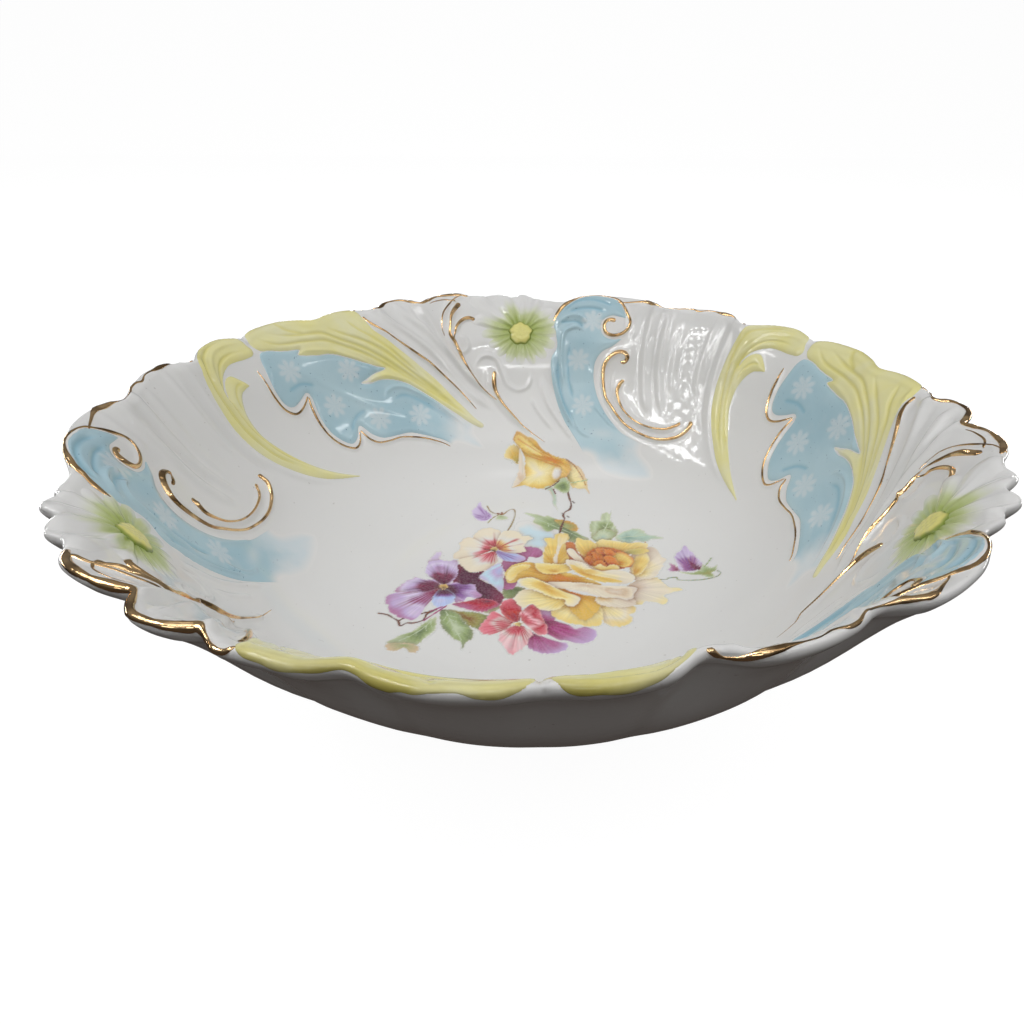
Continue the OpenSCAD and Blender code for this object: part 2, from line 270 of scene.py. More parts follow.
class Stroke(Relief):
    """A moulded line on the wall: a ridge, or a groove when its height is negative."""

    def __init__(self, height, width, points, ends=0.18):
        self.height, self.width, self.ends = height, width, ends
        reach = 2.2 * width
        super().__init__(points, False, (reach / 1.5, reach))

    def height_at(self, c, s, r):
        d, t = path_distance(c, s, r, self.path)
        end = ramp(np.minimum(t, 1 - t) / self.ends) if self.ends else 1
        w = self.width * (0.45 + 0.55 * end)
        shape = np.exp(-(d / w) ** 2) * (0.15 + 0.85 * end)
        return self.height * shape, shape if self.height < 0 else 0


class Swell(Relief):
    """A leaf or band of the mould: it rises from its outline inwards, as far as fall lets it."""

    def __init__(self, height, edge, points, fall):
        self.height, self.edge, self.fall = height, edge, fall
        super().__init__(points, True, (1, 1))
        self.ring = looped(self.path)

    def height_at(self, c, s, r):
        d, _ = path_distance(c, s, r, self.ring)
        inside = inside_path(c, s, self.path)
        rise = self.height * np.where(inside, ramp(d / self.edge) ** 0.7, 0)
        return rise * self.fall(c, r), 0


# ---------------------------------------------------------------- the drawing of one sector
SCROLL = [
    (8.5, 118.5), (9.5, 113), (8.3, 110.3), (8.6, 106), (9.6, 102), (11, 98), (13, 94),
    (15.5, 90.5), (18, 87), (20, 83.5), (22, 78), (27, 73.5), (35, 72.5), (43, 75), (46.5, 80),
    (44, 86), (38.5, 90), (33, 91.8), (29, 93.2), (26, 95.5), (23.5, 98), (21.3, 101), (19.8, 104),
    (18.9, 107), (18.8, 110), (20, 112.3), (22.3, 113.8), (24, 115.8), (22, 115.4), (19.9, 116.1),
    (18.9, 118.2), (19.3, 120.4), (21, 121.7), (23, 121.4), (24, 121.4), (23, 124.1), (21, 127.5),
    (17, 128.7), (14, 127.5), (11.6, 124.9), (9.7, 122.2)]
LEAF_UPPER = [
    (66, 120.8), (68, 120), (70, 119.5), (72, 119), (71.4, 117.8), (75, 116.5), (78, 115.8),
    (81, 114.6), (84, 113), (87, 111.6), (89, 110.8), (86, 110.2), (84, 109.5), (82.5, 109),
    (84.5, 108.5), (87, 108.8), (90, 108.3), (93, 107), (95, 105.5), (98, 102.8), (101, 99.8),
    (104, 97), (106.5, 94.5), (109, 92)]
LEAF_LOWER = [
    (64, 120.8), (63, 119), (62.6, 116), (62.3, 113), (62.6, 110.5), (63.5, 109), (65, 108.6),
    (67, 109.3), (69, 110.2), (69.7, 109), (69.4, 106), (69.5, 103), (70.2, 100), (71.5, 97.8),
    (73, 96.3), (74.3, 96), (76, 97.2), (77.8, 99.7), (79.8, 96.8), (82, 95), (84, 94.5),
    (87, 94.4), (90, 94.3), (93, 93), (96, 91.5), (99, 89.8), (103, 86), (108, 83), (112, 84),
    (111, 88.5)]
LEAF = LEAF_LOWER + LEAF_UPPER[::-1]
ACANTHUS = LEAF_UPPER[:-1] + [
    (109.6, 92.4), (110.6, 93.4), (108.5, 95.6), (106, 99), (103, 103), (100, 107), (97, 110.3),
    (94, 113.5), (91.5, 116.5), (89.5, 119.5), (88.5, 122), (88, 125.5), (87.3, 128.4),
    (86, 130.4), (84.4, 130.8), (83, 131.4), (81.4, 130.4), (80, 129.4), (78.3, 127.4),
    (76.9, 128.2), (75.6, 130.4), (74.2, 131.6), (73, 131.2), (72, 131.6), (70.9, 131.2),
    (69.6, 130.8), (68.6, 130.7), (67.4, 131.4), (66, 131.2), (64.9, 129.8), (64, 128.2),
    (63.3, 126), (63.2, 123), (64.2, 121.2)]
# Runs of points that the mould and its gilding share.
OUTER_C = [
    (21, 109.5), (21.2, 107), (22, 104), (23, 101.8), (24.8, 99.8), (27, 97.5), (30, 95.3),
    (34, 93.9), (37, 93.4), (40, 93.6), (42.5, 94.5), (44.5, 95.8), (45.9, 97.8)]
INNER_C = [
    (25.3, 104), (26, 102.3), (27.5, 100), (29.5, 98.3), (32, 97), (35, 96.3), (38, 96.3),
    (41, 97.1), (43, 98.9)]
MARGIN_2 = [(68.8, 101), (69.8, 98.3), (71.3, 96.3), (73, 95), (74.3, 94.7), (75.8, 95.8)]
MARGIN_3 = [
    (78.3, 96.3), (79.3, 95), (81, 93.9), (84, 93.6), (87, 93.7), (90, 93), (93, 92), (96, 90.5)]
TAIL = [
    (-5.5, 103.5), (-4.8, 101.2), (-3.5, 98.8), (-2.2, 97), (-0.5, 94.8), (1.5, 92.3), (3.9, 90.3)]
YELLOW_LEAF = [
    (72, 86.2), (69, 87.2), (65, 88.7), (61, 90.8), (57.5, 93.5), (54.5, 96.8), (51.8, 100.5),
    (49.5, 105), (48.3, 109.5), (48.1, 113), (48.5, 117), (49.4, 120.4), (50.6, 123),
    (52.2, 125.6), (53.8, 128.2), (55.2, 129.8), (56.8, 131.3), (58.6, 130.8), (60.4, 130.2),
    (61.8, 127), (62.3, 124), (62.8, 122), (62.2, 120.6), (60.5, 120.3), (58, 120.5), (56, 120.2),
    (53.5, 118.5), (51.8, 116), (51.4, 114.4), (52.2, 116.4), (53.5, 117.9), (55, 118.2),
    (56.3, 117), (57.6, 115.2), (56.5, 114.8), (55, 114.2), (53.8, 112.5), (53.2, 110.5),
    (53.3, 108), (53.8, 106), (55.3, 103), (57.5, 99.3), (60, 96), (63, 92.8), (66, 90.3),
    (69, 88.2)]


def scroll_fall(c, r):
    return ramp((r - 89) / 13)


def leaf_fall(c, r):
    return ramp((r - 87) / 8) * (1 - ramp((c - 97) / 10))


def rim_fall(c, r):
    return 1 - 0.8 * ramp((r - 119) / 7)


MOULDING = [
    Swell(0.5, 3.0, SCROLL, scroll_fall),
    Swell(0.4, 2.5, LEAF, leaf_fall),
    Swell(0.8, 3.0, ACANTHUS, rim_fall),
    Swell(0.8, 2.4, YELLOW_LEAF, rim_fall),
    # the scroll's long ribs
    Stroke(0.95, 0.9, [(9.5, 117.5), (11, 120), (13, 120.6), (14.8, 120), (15.6, 118.5)]),
    Stroke(0.95, 0.8, [(15.3, 116.8), (13.5, 117.5), (11.5, 116.5), (10.8, 115), (10.7, 111),
           (11.2, 107), (11.8, 104)]),
    Stroke(0.9, 0.8, [(8.6, 110), (9.3, 106.5), (10.3, 103), (11.9, 99.5), (13.6, 96),
           (15.6, 92.5)]),
    Stroke(-0.6, 0.7, [(9.9, 110.5), (10.2, 106.5), (11.3, 102), (13, 98), (15.6, 94)]),
    Stroke(0.4, 0.8, [(14.9, 98), (15.2, 96), (16.5, 93), (18.5, 91), (21, 90.2)]),
    Stroke(0.35, 0.9, [(19.5, 100), (22, 98), (25, 95.5), (28, 93.8)]),
    Stroke(-0.6, 0.8, [(11.5, 121.6), (13.8, 122.9), (17, 123.4), (19.5, 122.6)]),
    Stroke(-0.55, 0.8, [(10.4, 121.5), (12.2, 124.8), (15, 126.6), (18.4, 126.4), (20.8, 124.6)]),
    Stroke(-0.5, 0.7, [(9.7, 118.4), (11.6, 118.8), (13.6, 118.9), (15.2, 117.6)]),
    Stroke(-0.45, 0.8, [(12.4, 113.5), (12.4, 109), (13.2, 104.5), (14.6, 101)]),
    Stroke(0.6, 1.0, [(11.4, 125), (14, 127.3), (17.5, 128.5), (21, 127.5), (22.9, 124.8),
           (24.4, 121.8), (24.9, 119.2), (23.8, 117.2), (22, 116.5), (20.4, 117.1), (19.9, 118.8),
           (20.8, 120.4)], 0.08),
    # the C scroll under its gilding
    Stroke(1.0, 1.0, [(25, 111), (25.6, 112.2), (23.5, 112.4), (21.8, 111.1), *OUTER_C,
           (46.2, 100.2)], 0.05),
    Stroke(0.8, 0.9, [(26, 106.6), (25.4, 105.4), *INNER_C], 0.06),
    Stroke(-0.45, 0.7, [(23.8, 110), (23.2, 107), (24, 103.4), (26, 100.2), (29, 97.2), (33, 95.4),
           (38, 94.9), (42, 96), (44.4, 98.4)]),
    # flutes of the plain panel
    Stroke(0.95, 2.0, [(29.4, 126), (29.5, 119), (30.2, 112), (32, 105), (34.6, 99.5)]),
    Stroke(0.75, 1.6, [(33.9, 126), (33.4, 118), (33.8, 112), (35.4, 106), (38, 100.8)]),
    Stroke(0.35, 1.6, [(37.4, 124), (36.8, 117), (37.2, 111), (38.8, 105.5)]),
    Stroke(-0.3, 1.6, [(31.8, 125), (31.6, 117), (32.1, 111), (33.8, 104.5)]),
    Stroke(0.35, 1.8, [(26.6, 127), (26.2, 122), (26.6, 116)]),
    Stroke(0.65, 1.4, [(47.2, 127), (46.9, 120), (47.1, 112), (48.8, 105), (51.3, 100), (54.2, 96),
           (58, 92.2), (62, 89.4)]),
    Stroke(-0.4, 1.3, [(45.6, 124), (45.3, 117), (45.6, 110), (47.3, 103.5), (50.2, 98.5)]),
    Stroke(0.45, 1.3, [(43.4, 126), (43, 119), (43.2, 112), (44.6, 106)]),
    # yellow leaf
    Stroke(-0.75, 0.55, [(59.5, 127.5), (55.5, 126.6), (53, 124.4), (50.8, 121), (49.7, 117),
           (49.7, 113), (50.7, 108), (52.6, 103), (54.9, 99.2), (57.5, 96)]),
    Stroke(0.5, 0.8, [(61, 125), (58, 125.4), (55, 124.4), (52.6, 121.6), (51, 118), (50.6, 114),
           (51.6, 109), (53.6, 104), (56.2, 99.8)]),
    Stroke(-0.7, 0.5, [(60.8, 122.4), (58, 122.8), (55.2, 121.8), (53, 119.4), (51.5, 116),
           (51.3, 113), (51.8, 109), (53.2, 105), (55.2, 101.4), (58, 97.6), (61.5, 93.8)]),
    Stroke(-0.35, 0.5, [(56, 116), (54.4, 115.8), (53, 114), (52.5, 111.5)]),
    Stroke(-0.5, 0.6, [(62.4, 130), (62.9, 126), (62.9, 122)]),
    # acanthus leaf ribs
    Stroke(-0.65, 0.75, [(107, 95.5), (105, 98), (98, 104.5), (92, 109.5), (86, 114), (80, 118),
           (74, 120.5), (68, 122), (65, 125)]),
    Stroke(-0.65, 0.75, [(104, 99), (102, 101.5), (96, 107), (90, 112), (84, 117), (78, 121),
           (72, 123.5), (67.5, 126)]),
    Stroke(-0.6, 0.75, [(101, 103), (99, 105), (93, 111), (88, 116), (83, 120), (79.4, 123.4)]),
    Stroke(-0.55, 0.75, [(97, 108), (92, 113.5), (88.5, 118), (86, 121), (84, 125.5)]),
    Stroke(-0.35, 0.9, [(74.6, 122.6), (72, 125.6), (70.6, 129.5)]),
    Stroke(0.5, 0.8, [(88, 109.6), (84.5, 113), (80, 115.6), (76, 117.2), (72.4, 118.4)]),
    Stroke(0.5, 0.7, [(93, 107.7), (88.5, 109.4), (83.6, 109)]),
    # blue leaf
    Stroke(0.6, 0.8, [(87, 104.8), (87.8, 106), (89.5, 106.6), (92, 106.2), (94.5, 104.8),
           (97, 102.8), (100, 100), (103, 96.5), (106, 93)]),
    Stroke(-0.2, 0.9, [(88.5, 103.6), (91, 104.4), (93.6, 103.4), (97, 100.8), (101, 97),
           (105, 92)]),
    Stroke(0.15, 1.4, [(66, 118), (71, 113), (77, 108), (83, 103.6), (90, 99.5), (97, 95),
           (103, 90)]),
    Stroke(-0.15, 0.9, [(65, 111.5), (68.5, 112), (71.5, 111)]),
    Stroke(-0.15, 0.9, [(75, 99), (77.8, 102), (81, 103)]),
    # raised white margin that carries the leaf's gilding
    Stroke(0.6, 0.9, [(61, 117), (61.1, 113), (61.8, 109.5), (63, 107.9), (64.5, 107.2),
           (66.5, 107.8), (69, 109.5)], 0.1),
    Stroke(0.6, 0.9, [(69, 109.2), (68.4, 105), *MARGIN_2, (77, 98.2)], 0.1),
    Stroke(0.6, 0.9, [(77.7, 98), *MARGIN_3, (99.7, 87.9)], 0.1),
    # shell flutes beside the daisy
    Stroke(1.2, 1.7, [(-29.6, 128), (-27.5, 123.5), (-22, 116.5), (-16.5, 109.5), (-11, 102),
           (-7, 98)]),
    Stroke(1.2, 1.7, [(-24.6, 129.5), (-22.8, 123.5), (-18.6, 116.5), (-13.6, 109.5),
           (-9.6, 104)]),
    Stroke(1.0, 1.3, [(-20, 126.5), (-18.2, 120), (-16.2, 114), (-12, 107.4), (-8, 102.6)]),
    Stroke(-0.7, 1.0, [(-27, 127), (-25, 121.5), (-20, 114.5), (-15, 107.5), (-10.5, 101.6)]),
    Stroke(-0.7, 1.0, [(-21.8, 128), (-20.4, 121.5), (-17.6, 115.5), (-13.6, 108.4)]),
    Stroke(0.9, 1.3, [(-33.4, 127), (-31, 121), (-26, 114), (-20, 106.8), (-14, 100.2)]),
    Stroke(1.0, 0.9, [(-12, 126.5), (-13.6, 122), (-14.2, 118), (-13.8, 114.5), (-12, 109.5),
           (-9, 104), (-5.2, 100.2)], 0.1),
    Stroke(0.7, 0.8, [(-10, 131), (-12, 129), (-13.8, 126), (-15.4, 122), (-16, 118)]),
    Stroke(0.8, 0.9, [(-9, 120.3), (-10.3, 121), (-11.6, 120.3), (-12.8, 118.7), (-13.5, 116.5)]),
    Stroke(0.8, 0.8, [(-9.5, 109), (-8.5, 110.5), (-6.5, 111), (-4.5, 110), (-3.5, 107.5),
           (-2.5, 104.5), (0, 102.8), (2.5, 103.5), (3.5, 105.5), (3.3, 107.5)]),
    Stroke(0.7, 0.8, [(-14, 113), (-12.5, 112), (-11, 113), (-11.3, 115), (-12.5, 116)]),
    Stroke(0.9, 0.9, [(-5.4, 107.5), *TAIL], 0.1),
    Stroke(0.7, 0.9, [(6, 107), (6.7, 103), (8.2, 99), (10.8, 95), (14, 91), (17, 87.5)]),
    Stroke(0.5, 0.8, [(3.8, 101), (5, 98), (7, 95), (10, 91.4)]),
    Stroke(-0.4, 0.9, [(-7.6, 107.5), (-7.4, 103.5), (-6, 99.6), (-3.4, 95.6), (0, 91.5)]),
    # the gilded edge beside the acanthus
    Stroke(0.9, 0.9, [(88.3, 125), (90.5, 119.8), (95, 114.8), (100, 110.3), (105, 104.2),
           (109, 98.2)], 0.12),
    # a rolled edge along the whole rim
    Stroke(0.35, 1.3, [(c, RIM_R + float(rim_out(c)) - 1.2) for c in np.arange(-31, 89.1, 2)],
           0),
]


def relief(c, r):
    """Height of the mould over the base surface at the places (c, r), and how deep its grooves
    are, 0 to 1: the materials paint shade into the grooves with it, and in the coloured glazes
    also the deeper colour of glaze pooled there."""
    c, r = np.broadcast_arrays(np.asarray(c, float), np.asarray(r, float))
    shape = c.shape
    c, r = c.ravel(), r.ravel()
    s = arc(r)
    total, pool_and_shade = np.zeros(c.shape), np.zeros(c.shape)
    for part in MOULDING:
        part.add(c, s, r, total, pool_and_shade)
    total *= 1 - ramp((r - RIM_R - rim_out(c) - 2.5) / 2.5)
    return total.reshape(shape), pool_and_shade.reshape(shape)


# ---------------------------------------------------------------- meshes
def mesh_object(node, points, faces, material, fields=None, colours=None):
    """A piece from its points in metres, which stands for the CAD node."""
    name = node + "_piece"
    mesh = bpy.data.meshes.new(name)
    mesh.from_pydata(np.asarray(points).tolist(), [], faces)
    mesh.polygons.foreach_set("use_smooth", [True] * len(mesh.polygons))
    for key, values in (fields or {}).items():
        mesh.attributes.new(key, "FLOAT", "POINT").data.foreach_set(
            "value", np.asarray(values, np.float32))
    if colours is not None:
        rgba = np.concatenate([colours, np.ones((len(colours), 1))], 1)
        mesh.attributes.new("paint", "FLOAT_COLOR", "POINT").data.foreach_set(
            "color", rgba.astype(np.float32).ravel())
    mesh.materials.append(material)
    mesh.update()
    piece = bpy.data.objects.new(name, mesh)
    bpy.context.scene.collection.objects.link(piece)
    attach(piece, ROOT)
    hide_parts(node)


def in_sector(points, k):
    """Points of sector 1, turned into sector k."""
    a = -SECTOR * (k - 1) * DEG
    turn = np.array([[math.cos(a), -math.sin(a), 0], [math.sin(a), math.cos(a), 0], [0, 0, 1]])
    return points @ turn.T


def three_times(name, points, faces, material, fields=None):
    """The same piece in each sector, for the CAD nodes name_1 to name_3."""
    for k in (1, 2, 3):
        mesh_object(f"{name}_{k}", in_sector(points, k), faces, material, fields)


def ring_quads(a, b, n):
    """Faces between two rings of n points that start at a and b."""
    return [(a + j, a + (j + 1) % n, b + (j + 1) % n, b + j) for j in range(n)]


def capped(rings, n):
    """Faces of a closed stack of rings of n points. Its two end points follow the rings."""
    faces = [f for k in range(rings - 1) for f in ring_quads(k * n, (k + 1) * n, n)]
    first, last = rings * n, (rings - 1) * n
    faces += [(first, (j + 1) % n, j) for j in range(n)]
    faces += [(first + 1, last + j, last + (j + 1) % n) for j in range(n)]
    return faces


def rows_between(low, high, step):
    """Rows of the wall from the radius low to high, `step` mm apart along it."""
    n = max(2, int(round((arc(high) - arc(low)) / step)))
    return radius_at(np.linspace(arc(low), arc(high), n + 1))


COLUMNS = 360


def make_bowl(material):
    """One closed body: the moulded inside, the lip, the outside and the underside."""
    fine = START + np.arange(COLUMNS) * SECTOR / COLUMNS
    coarse = fine[::2]
    well = np.concatenate([np.arange(4, 42, 6.0), rows_between(42, 80, 1.6)[:-1]])
    wall = rows_between(80, RIM_R, 0.72)
    lip = RIM_R + np.linspace(0, LIP_RUN[-1], 13)[1:]
    outside = np.concatenate([np.linspace(125.4, 118, 6), np.linspace(115.5, 64, 22), [FOOT_R]])
    rings, fields = [], []

    def add(one, row_pool_and_shade=0):
        rings.append(np.concatenate([in_sector(one, k) for k in (1, 2, 3)]))
        fields.append(np.tile(np.broadcast_to(row_pool_and_shade, len(one)), 3))

    for q in well:
        add(lifted(coarse, np.full(coarse.shape, q), 0))
    rows = np.concatenate([wall, lip])
    cc, qq = np.meshgrid(fine, rows)
    # how deep each place lies in a groove: the porcelain paints shade there
    height, pool_and_shade = relief(cc, place_of(cc, qq))
    for i, q in enumerate(rows):
        add(lifted(fine, np.full(fine.shape, q), height[i]), pool_and_shade[i])
    for q in outside:
        add(upright(coarse, *outer_section(coarse, np.full(coarse.shape, q))))
    for r in UNDERSIDE:
        add(upright(coarse, np.full(coarse.shape, r), np.full(coarse.shape, FOOT_H)))
    points = np.concatenate(rings + [[[0, 0, WELL_Z * 0.001], [0, 0, FOOT_H * 0.001]]])
    starts = np.cumsum([0] + [len(r) for r in rings]).tolist()
    faces = []
    for i in range(len(rings) - 1):
        a, b, na, nb = starts[i], starts[i + 1], len(rings[i]), len(rings[i + 1])
        if na == nb:
            faces += ring_quads(a, b, na)
        elif na < nb:
            faces += [(a + j, a + (j + 1) % na, b + (2 * j + 2) % nb, b + 2 * j + 1, b + 2 * j)
                      for j in range(na)]
        else:
            faces += [(a + 2 * j, a + 2 * j + 1, a + (2 * j + 2) % na, b + (j + 1) % nb, b + j)
                      for j in range(nb)]
    n, last, top = len(rings[0]), starts[-2], starts[-1]
    faces += [(top, (j + 1) % n, j) for j in range(n)]
    faces += [(top + 1, last + j, last + (j + 1) % n) for j in range(n)]
    mesh_object("bowl_body", points, faces, material,
                {"pool_and_shade": np.concatenate(fields + [[0, 0]])})


# A patch of enamel is laid out flat as if at PATCH_R. SHOULDER is the width of its rounded edge.
PATCH_R = 112.0
SHOULDER = 0.42


def enamel_patch(name, outline, thickness, material, extra, step=0.5):
    """A raised area of coloured glaze with a crisp rounded edge, cut to its outline."""
    scale = DEG * PATCH_R
    path = smooth(outline, 12, closed=True)
    flat = looped(np.stack([path[:, 0] * scale, arc(path[:, 1])], -1))
    run = run_along(flat)
    at = np.linspace(0, run[-1], int(run[-1] / step), endpoint=False)
    edge = np.stack([np.interp(at, run, flat[:, i]) for i in (0, 1)], -1)
    ahead = np.roll(edge, -1, 0) - np.roll(edge, 1, 0)
    ahead /= np.linalg.norm(ahead, axis=1)[:, None] + 1e-9
    area = np.sum(edge[:, 0] * np.roll(edge[:, 1], -1) - np.roll(edge[:, 0], -1) * edge[:, 1])
    inward = np.stack([-ahead[:, 1], ahead[:, 0]], -1) * (1 if area > 0 else -1)
    ring = looped(edge)

    def depth(p):
        d, _ = flat_distance(p[:, 0], p[:, 1], ring)
        return np.where(inside_path(p[:, 0], p[:, 1], edge), d, -d)

    second = edge + inward * SHOULDER
    second = second[depth(second) > SHOULDER * 0.9]
    # a triangular grid fills the inside
    low, high = edge.min(0), edge.max(0)
    xs = np.arange(low[0], high[0], step)
    ys = np.arange(low[1], high[1], step * 0.87)
    gx, gy = np.meshgrid(xs, ys)
    gx = gx + (np.arange(len(ys)) % 2)[:, None] * step / 2
    grid = np.stack([gx.ravel(), gy.ravel()], -1)
    grid = grid[depth(grid) > SHOULDER + step * 0.6]
    points = np.vstack([edge, second, grid])
    n = len(edge)
    verts, _, tris, _, _, _ = delaunay_2d_cdt(
        [Vector(p) for p in points], [(i, (i + 1) % n) for i in range(n)], [], 1, 1e-4, False)
    verts = np.array([tuple(v) for v in verts])
    tris = np.array([tuple(t) for t in tris])
    middle = verts[tris].mean(1)
    tris = tris[inside_path(middle[:, 0], middle[:, 1], edge)].tolist()
    c, r = verts[:, 0] / scale, radius_at(verts[:, 1])
    inner = depth(verts)
    rise = np.sqrt(np.clip(inner / 0.6, 0, 1))
    height, pool_and_shade = relief(c, r)
    # the glaze thins out where its colour fades, and sinks into the wall where it has gone
    given = extra(c, r)
    thin = ramp(given["fade"] * 1.4)
    thick = thickness + (0.03 - thickness) * thin
    bury = 0.1 - 0.08 * thin
    q = row_of(c, r)
    sunk = 0.22 * ramp(given["vanish"] * 2 - 1)
    top = lifted(c, q, height + rise * (thick + bury) - bury - sunk)
    under = lifted(c, q, height - 0.45)
    count = len(verts)
    faces = []
    edges = {}
    for t in tris:
        a, b, d = verts[t[0]], verts[t[1]], verts[t[2]]
        up = (b[0] - a[0]) * (d[1] - a[1]) - (b[1] - a[1]) * (d[0] - a[0]) > 0
        t = tuple(t) if up else tuple(t[::-1])
        faces += [t[::-1], tuple(v + count for v in t)]
        for u, v in zip(t, t[1:] + t[:1]):
            edges[(u, v)] = 1
    for u, v in edges:
        if (v, u) not in edges:
            faces.append((v + count, u + count, u, v))
    fields = {key: np.tile(v, 2) for key, v in {"pool_and_shade": pool_and_shade, **given}.items()}
    three_times(name, np.vstack([top, under]), faces, material, fields)


def ribbon(points, widths, step=0.5, height=0.46):
    """A raised gilt line: a rounded strip along (c, r) points, `widths` half widths in mm."""
    path = smooth(points, 12)
    r = path[:, 1]
    s = arc(r)
    k = mm_per_degree(r)
    lengths = np.hypot(np.diff(path[:, 0]) * (k[1:] + k[:-1]) / 2, np.diff(s))
    run = np.concatenate([[0], np.cumsum(lengths)])
    n = max(5, int(run[-1] / step))
    at = np.linspace(0, run[-1], n)
    c, r, s, k = (np.interp(at, run, v) for v in (path[:, 0], r, s, k))
    wide = np.interp(at / run[-1], np.linspace(0, 1, len(widths)), widths) * 1.3
    cap = np.minimum(at, run[-1] - at)
    # round ends
    wide = wide * np.sqrt(np.clip(cap / np.maximum(wide, 0.2) * 1.1, 0.02, 1))
    dx, ds = np.gradient(c) * k, np.gradient(s)
    norm = np.hypot(dx, ds) + 1e-9
    side_c, side_s = -ds / norm, dx / norm
    across = np.sin(np.linspace(-90, 90, 9) * DEG)
    up = np.cos(np.linspace(-90, 90, 9) * DEG)
    rings = []
    for a, u in list(zip(across, up)) + [(0.5, -1.0), (-0.5, -1.0)]:
        cc = c + side_c * wide * a / k
        rr = radius_at(s + side_s * wide * a)
        lift = (height * np.clip(wide / 0.7, 0.25, 1.3)) * u - 0.08 if u >= 0 else -0.45
        rings.append(on_wall(cc, rr, lift))
    rings = np.stack(rings, 1)
    points = np.vstack([rings.reshape(-1, 3), rings[0].mean(0), rings[-1].mean(0)])
    return points, [f[::-1] for f in capped(n, rings.shape[1])]


def join(parts):
    """Several meshes of (points, faces) as one."""
    points, faces, base = [], [], 0
    for p, f in parts:
        points.append(p)
        faces += [tuple(v + base for v in face) for face in f]
        base += len(p)
    return np.vstack(points), faces


# ---------------------------------------------------------------- gilding
SCROLL_GILT = [
    # outer C and inner C
    ([(24.6, 110.8), (25.6, 110.8), (26.1, 111.8), (25.2, 112.7), (23.5, 112.6), (21.8, 111.3),
      *OUTER_C, (46.2, 99.8), (45.6, 100.6)],
     [0.6, 0.8, 0.75, 0.6, 0.5, 0.42, 0.4, 0.42, 0.5, 0.62, 0.8]),
    ([(26.4, 107), (25.8, 106.4), (25.4, 105.2), *INNER_C, (43.4, 99.7)],
     [0.75, 0.62, 0.42, 0.3, 0.3, 0.3, 0.34, 0.45, 0.6]),
    # the spiral at the head of the blue scroll
    ([(8.3, 118.5), (9.4, 122.2), (11.3, 125.6), (13.8, 128.1), (17, 129.4), (19.6, 129.2),
      (21.5, 127.8), (22.9, 125.4), (24, 122.8), (25, 120.5), (24.9, 118.5), (23.8, 117),
      (22, 116.3), (20.3, 116.8), (19.6, 118.5), (19.9, 120), (21, 120.6), (21.8, 120)],
     [0.35, 0.8, 0.75, 0.5, 0.34, 0.32, 0.4, 0.5, 0.5, 0.55, 0.6, 0.65, 0.85]),
    # the stem beside the daisy
    ([(-11.2, 127.2), (-12.6, 124.5), (-13.6, 122), (-14.2, 119), (-14.6, 116.5),
      (-13.8, 114.5), (-13, 112), (-12, 109.5), (-10.5, 106.5), (-9, 104), (-7, 101.8),
      (-5.2, 100.2)],
     [0.9, 0.75, 0.42, 0.42, 0.6, 0.6, 0.45, 0.32, 0.25, 0.2, 0.15]),
    ([(-8.6, 119.8), (-9.4, 120.8), (-10.5, 121), (-11.6, 120.3), (-12.8, 118.7),
      (-13.5, 116.5), (-13.9, 115.2)], [0.6, 0.8, 0.66, 0.5, 0.36, 0.15]),
    ([(-9.6, 132), (-12, 129.5), (-13.8, 126), (-15.2, 123), (-15.9, 120), (-16.1, 118),
      (-15.8, 116)], [0.3, 0.3, 0.3, 0.26, 0.22, 0.16]),
    ([(-5.2, 107.6), (-5.5, 105.8), *TAIL, (8, 87)],
     [0.7, 0.85, 0.6, 0.42, 0.3, 0.24, 0.2, 0.18, 0.12]),
]
LEAF_GILT = [
    ([(61, 117.2), (61.2, 114), (61.3, 112), (61.9, 109.5), (63, 107.9), (64.5, 107.2),
      (66.5, 107.8), (69, 109.6)], [0.2, 0.36, 0.42, 0.42, 0.36, 0.25]),
    ([(69.1, 109.4), (68.5, 107), (68.4, 104), *MARGIN_2, (77.2, 98.4)],
     [0.32, 0.42, 0.34, 0.36, 0.36, 0.2]),
    ([(77.5, 98.6), *MARGIN_3, (98.5, 89), (99.9, 87.7)],
     [0.3, 0.36, 0.3, 0.28, 0.3, 0.26, 0.18]),
    ([(88.2, 125.6), (89, 122.5), (90.5, 119.8), (92.5, 117.5), (95, 114.8), (97.5, 112.4),
      (100, 110.3), (102.5, 107.3), (105, 104.2), (107.5, 100.6), (109.2, 98)],
     [0.5, 0.48, 0.42, 0.38, 0.34, 0.3, 0.26, 0.22, 0.14]),
]
RIM_GILT = [
    ([(-33, 128.5), (-32, 130.2), (-30.5, 129.8), (-28.5, 127.4), (-27.4, 128.7),
      (-26, 130.9), (-23.5, 132), (-22, 131.2), (-20.2, 128.4), (-19.2, 127.3), (-17.8, 129),
      (-16, 131), (-13, 132.2), (-11, 131.8), (-9.3, 130.4)],
     [0.3, 0.7, 0.6, 1.0, 0.6, 0.8, 1.05, 0.7, 1.15, 0.6, 0.95, 0.8, 0.4]),
    ([(-17.6, 126.6), (-16.2, 128), (-14, 129), (-12, 128)], [0.12, 0.2, 0.24, 0.3]),
    ([(21.4, 126.4), (24, 127.3), (27, 128.2), (28.5, 127), (30, 125.5), (32, 124.3),
      (34, 124.4), (35.5, 125.8), (37, 126.3), (38.5, 125.6), (40.5, 126.8), (43, 126.6),
      (46, 126.4), (48, 124.8), (49.2, 122)],
     [0.2, 0.25, 0.35, 0.85, 0.7, 0.3, 0.22, 0.45, 0.4, 0.2, 0.25, 0.8, 0.75, 0.28, 0.7]),
]


def make_gilding(material):
    """All lines of one kind in a sector are one piece."""
    for name, lines in (("scroll_gilding", SCROLL_GILT), ("leaf_gilding", LEAF_GILT),
                        ("rim_gilding", RIM_GILT)):
        points, faces = join([ribbon(p, w) for p, w in lines])
        three_times(name, points, faces, material)


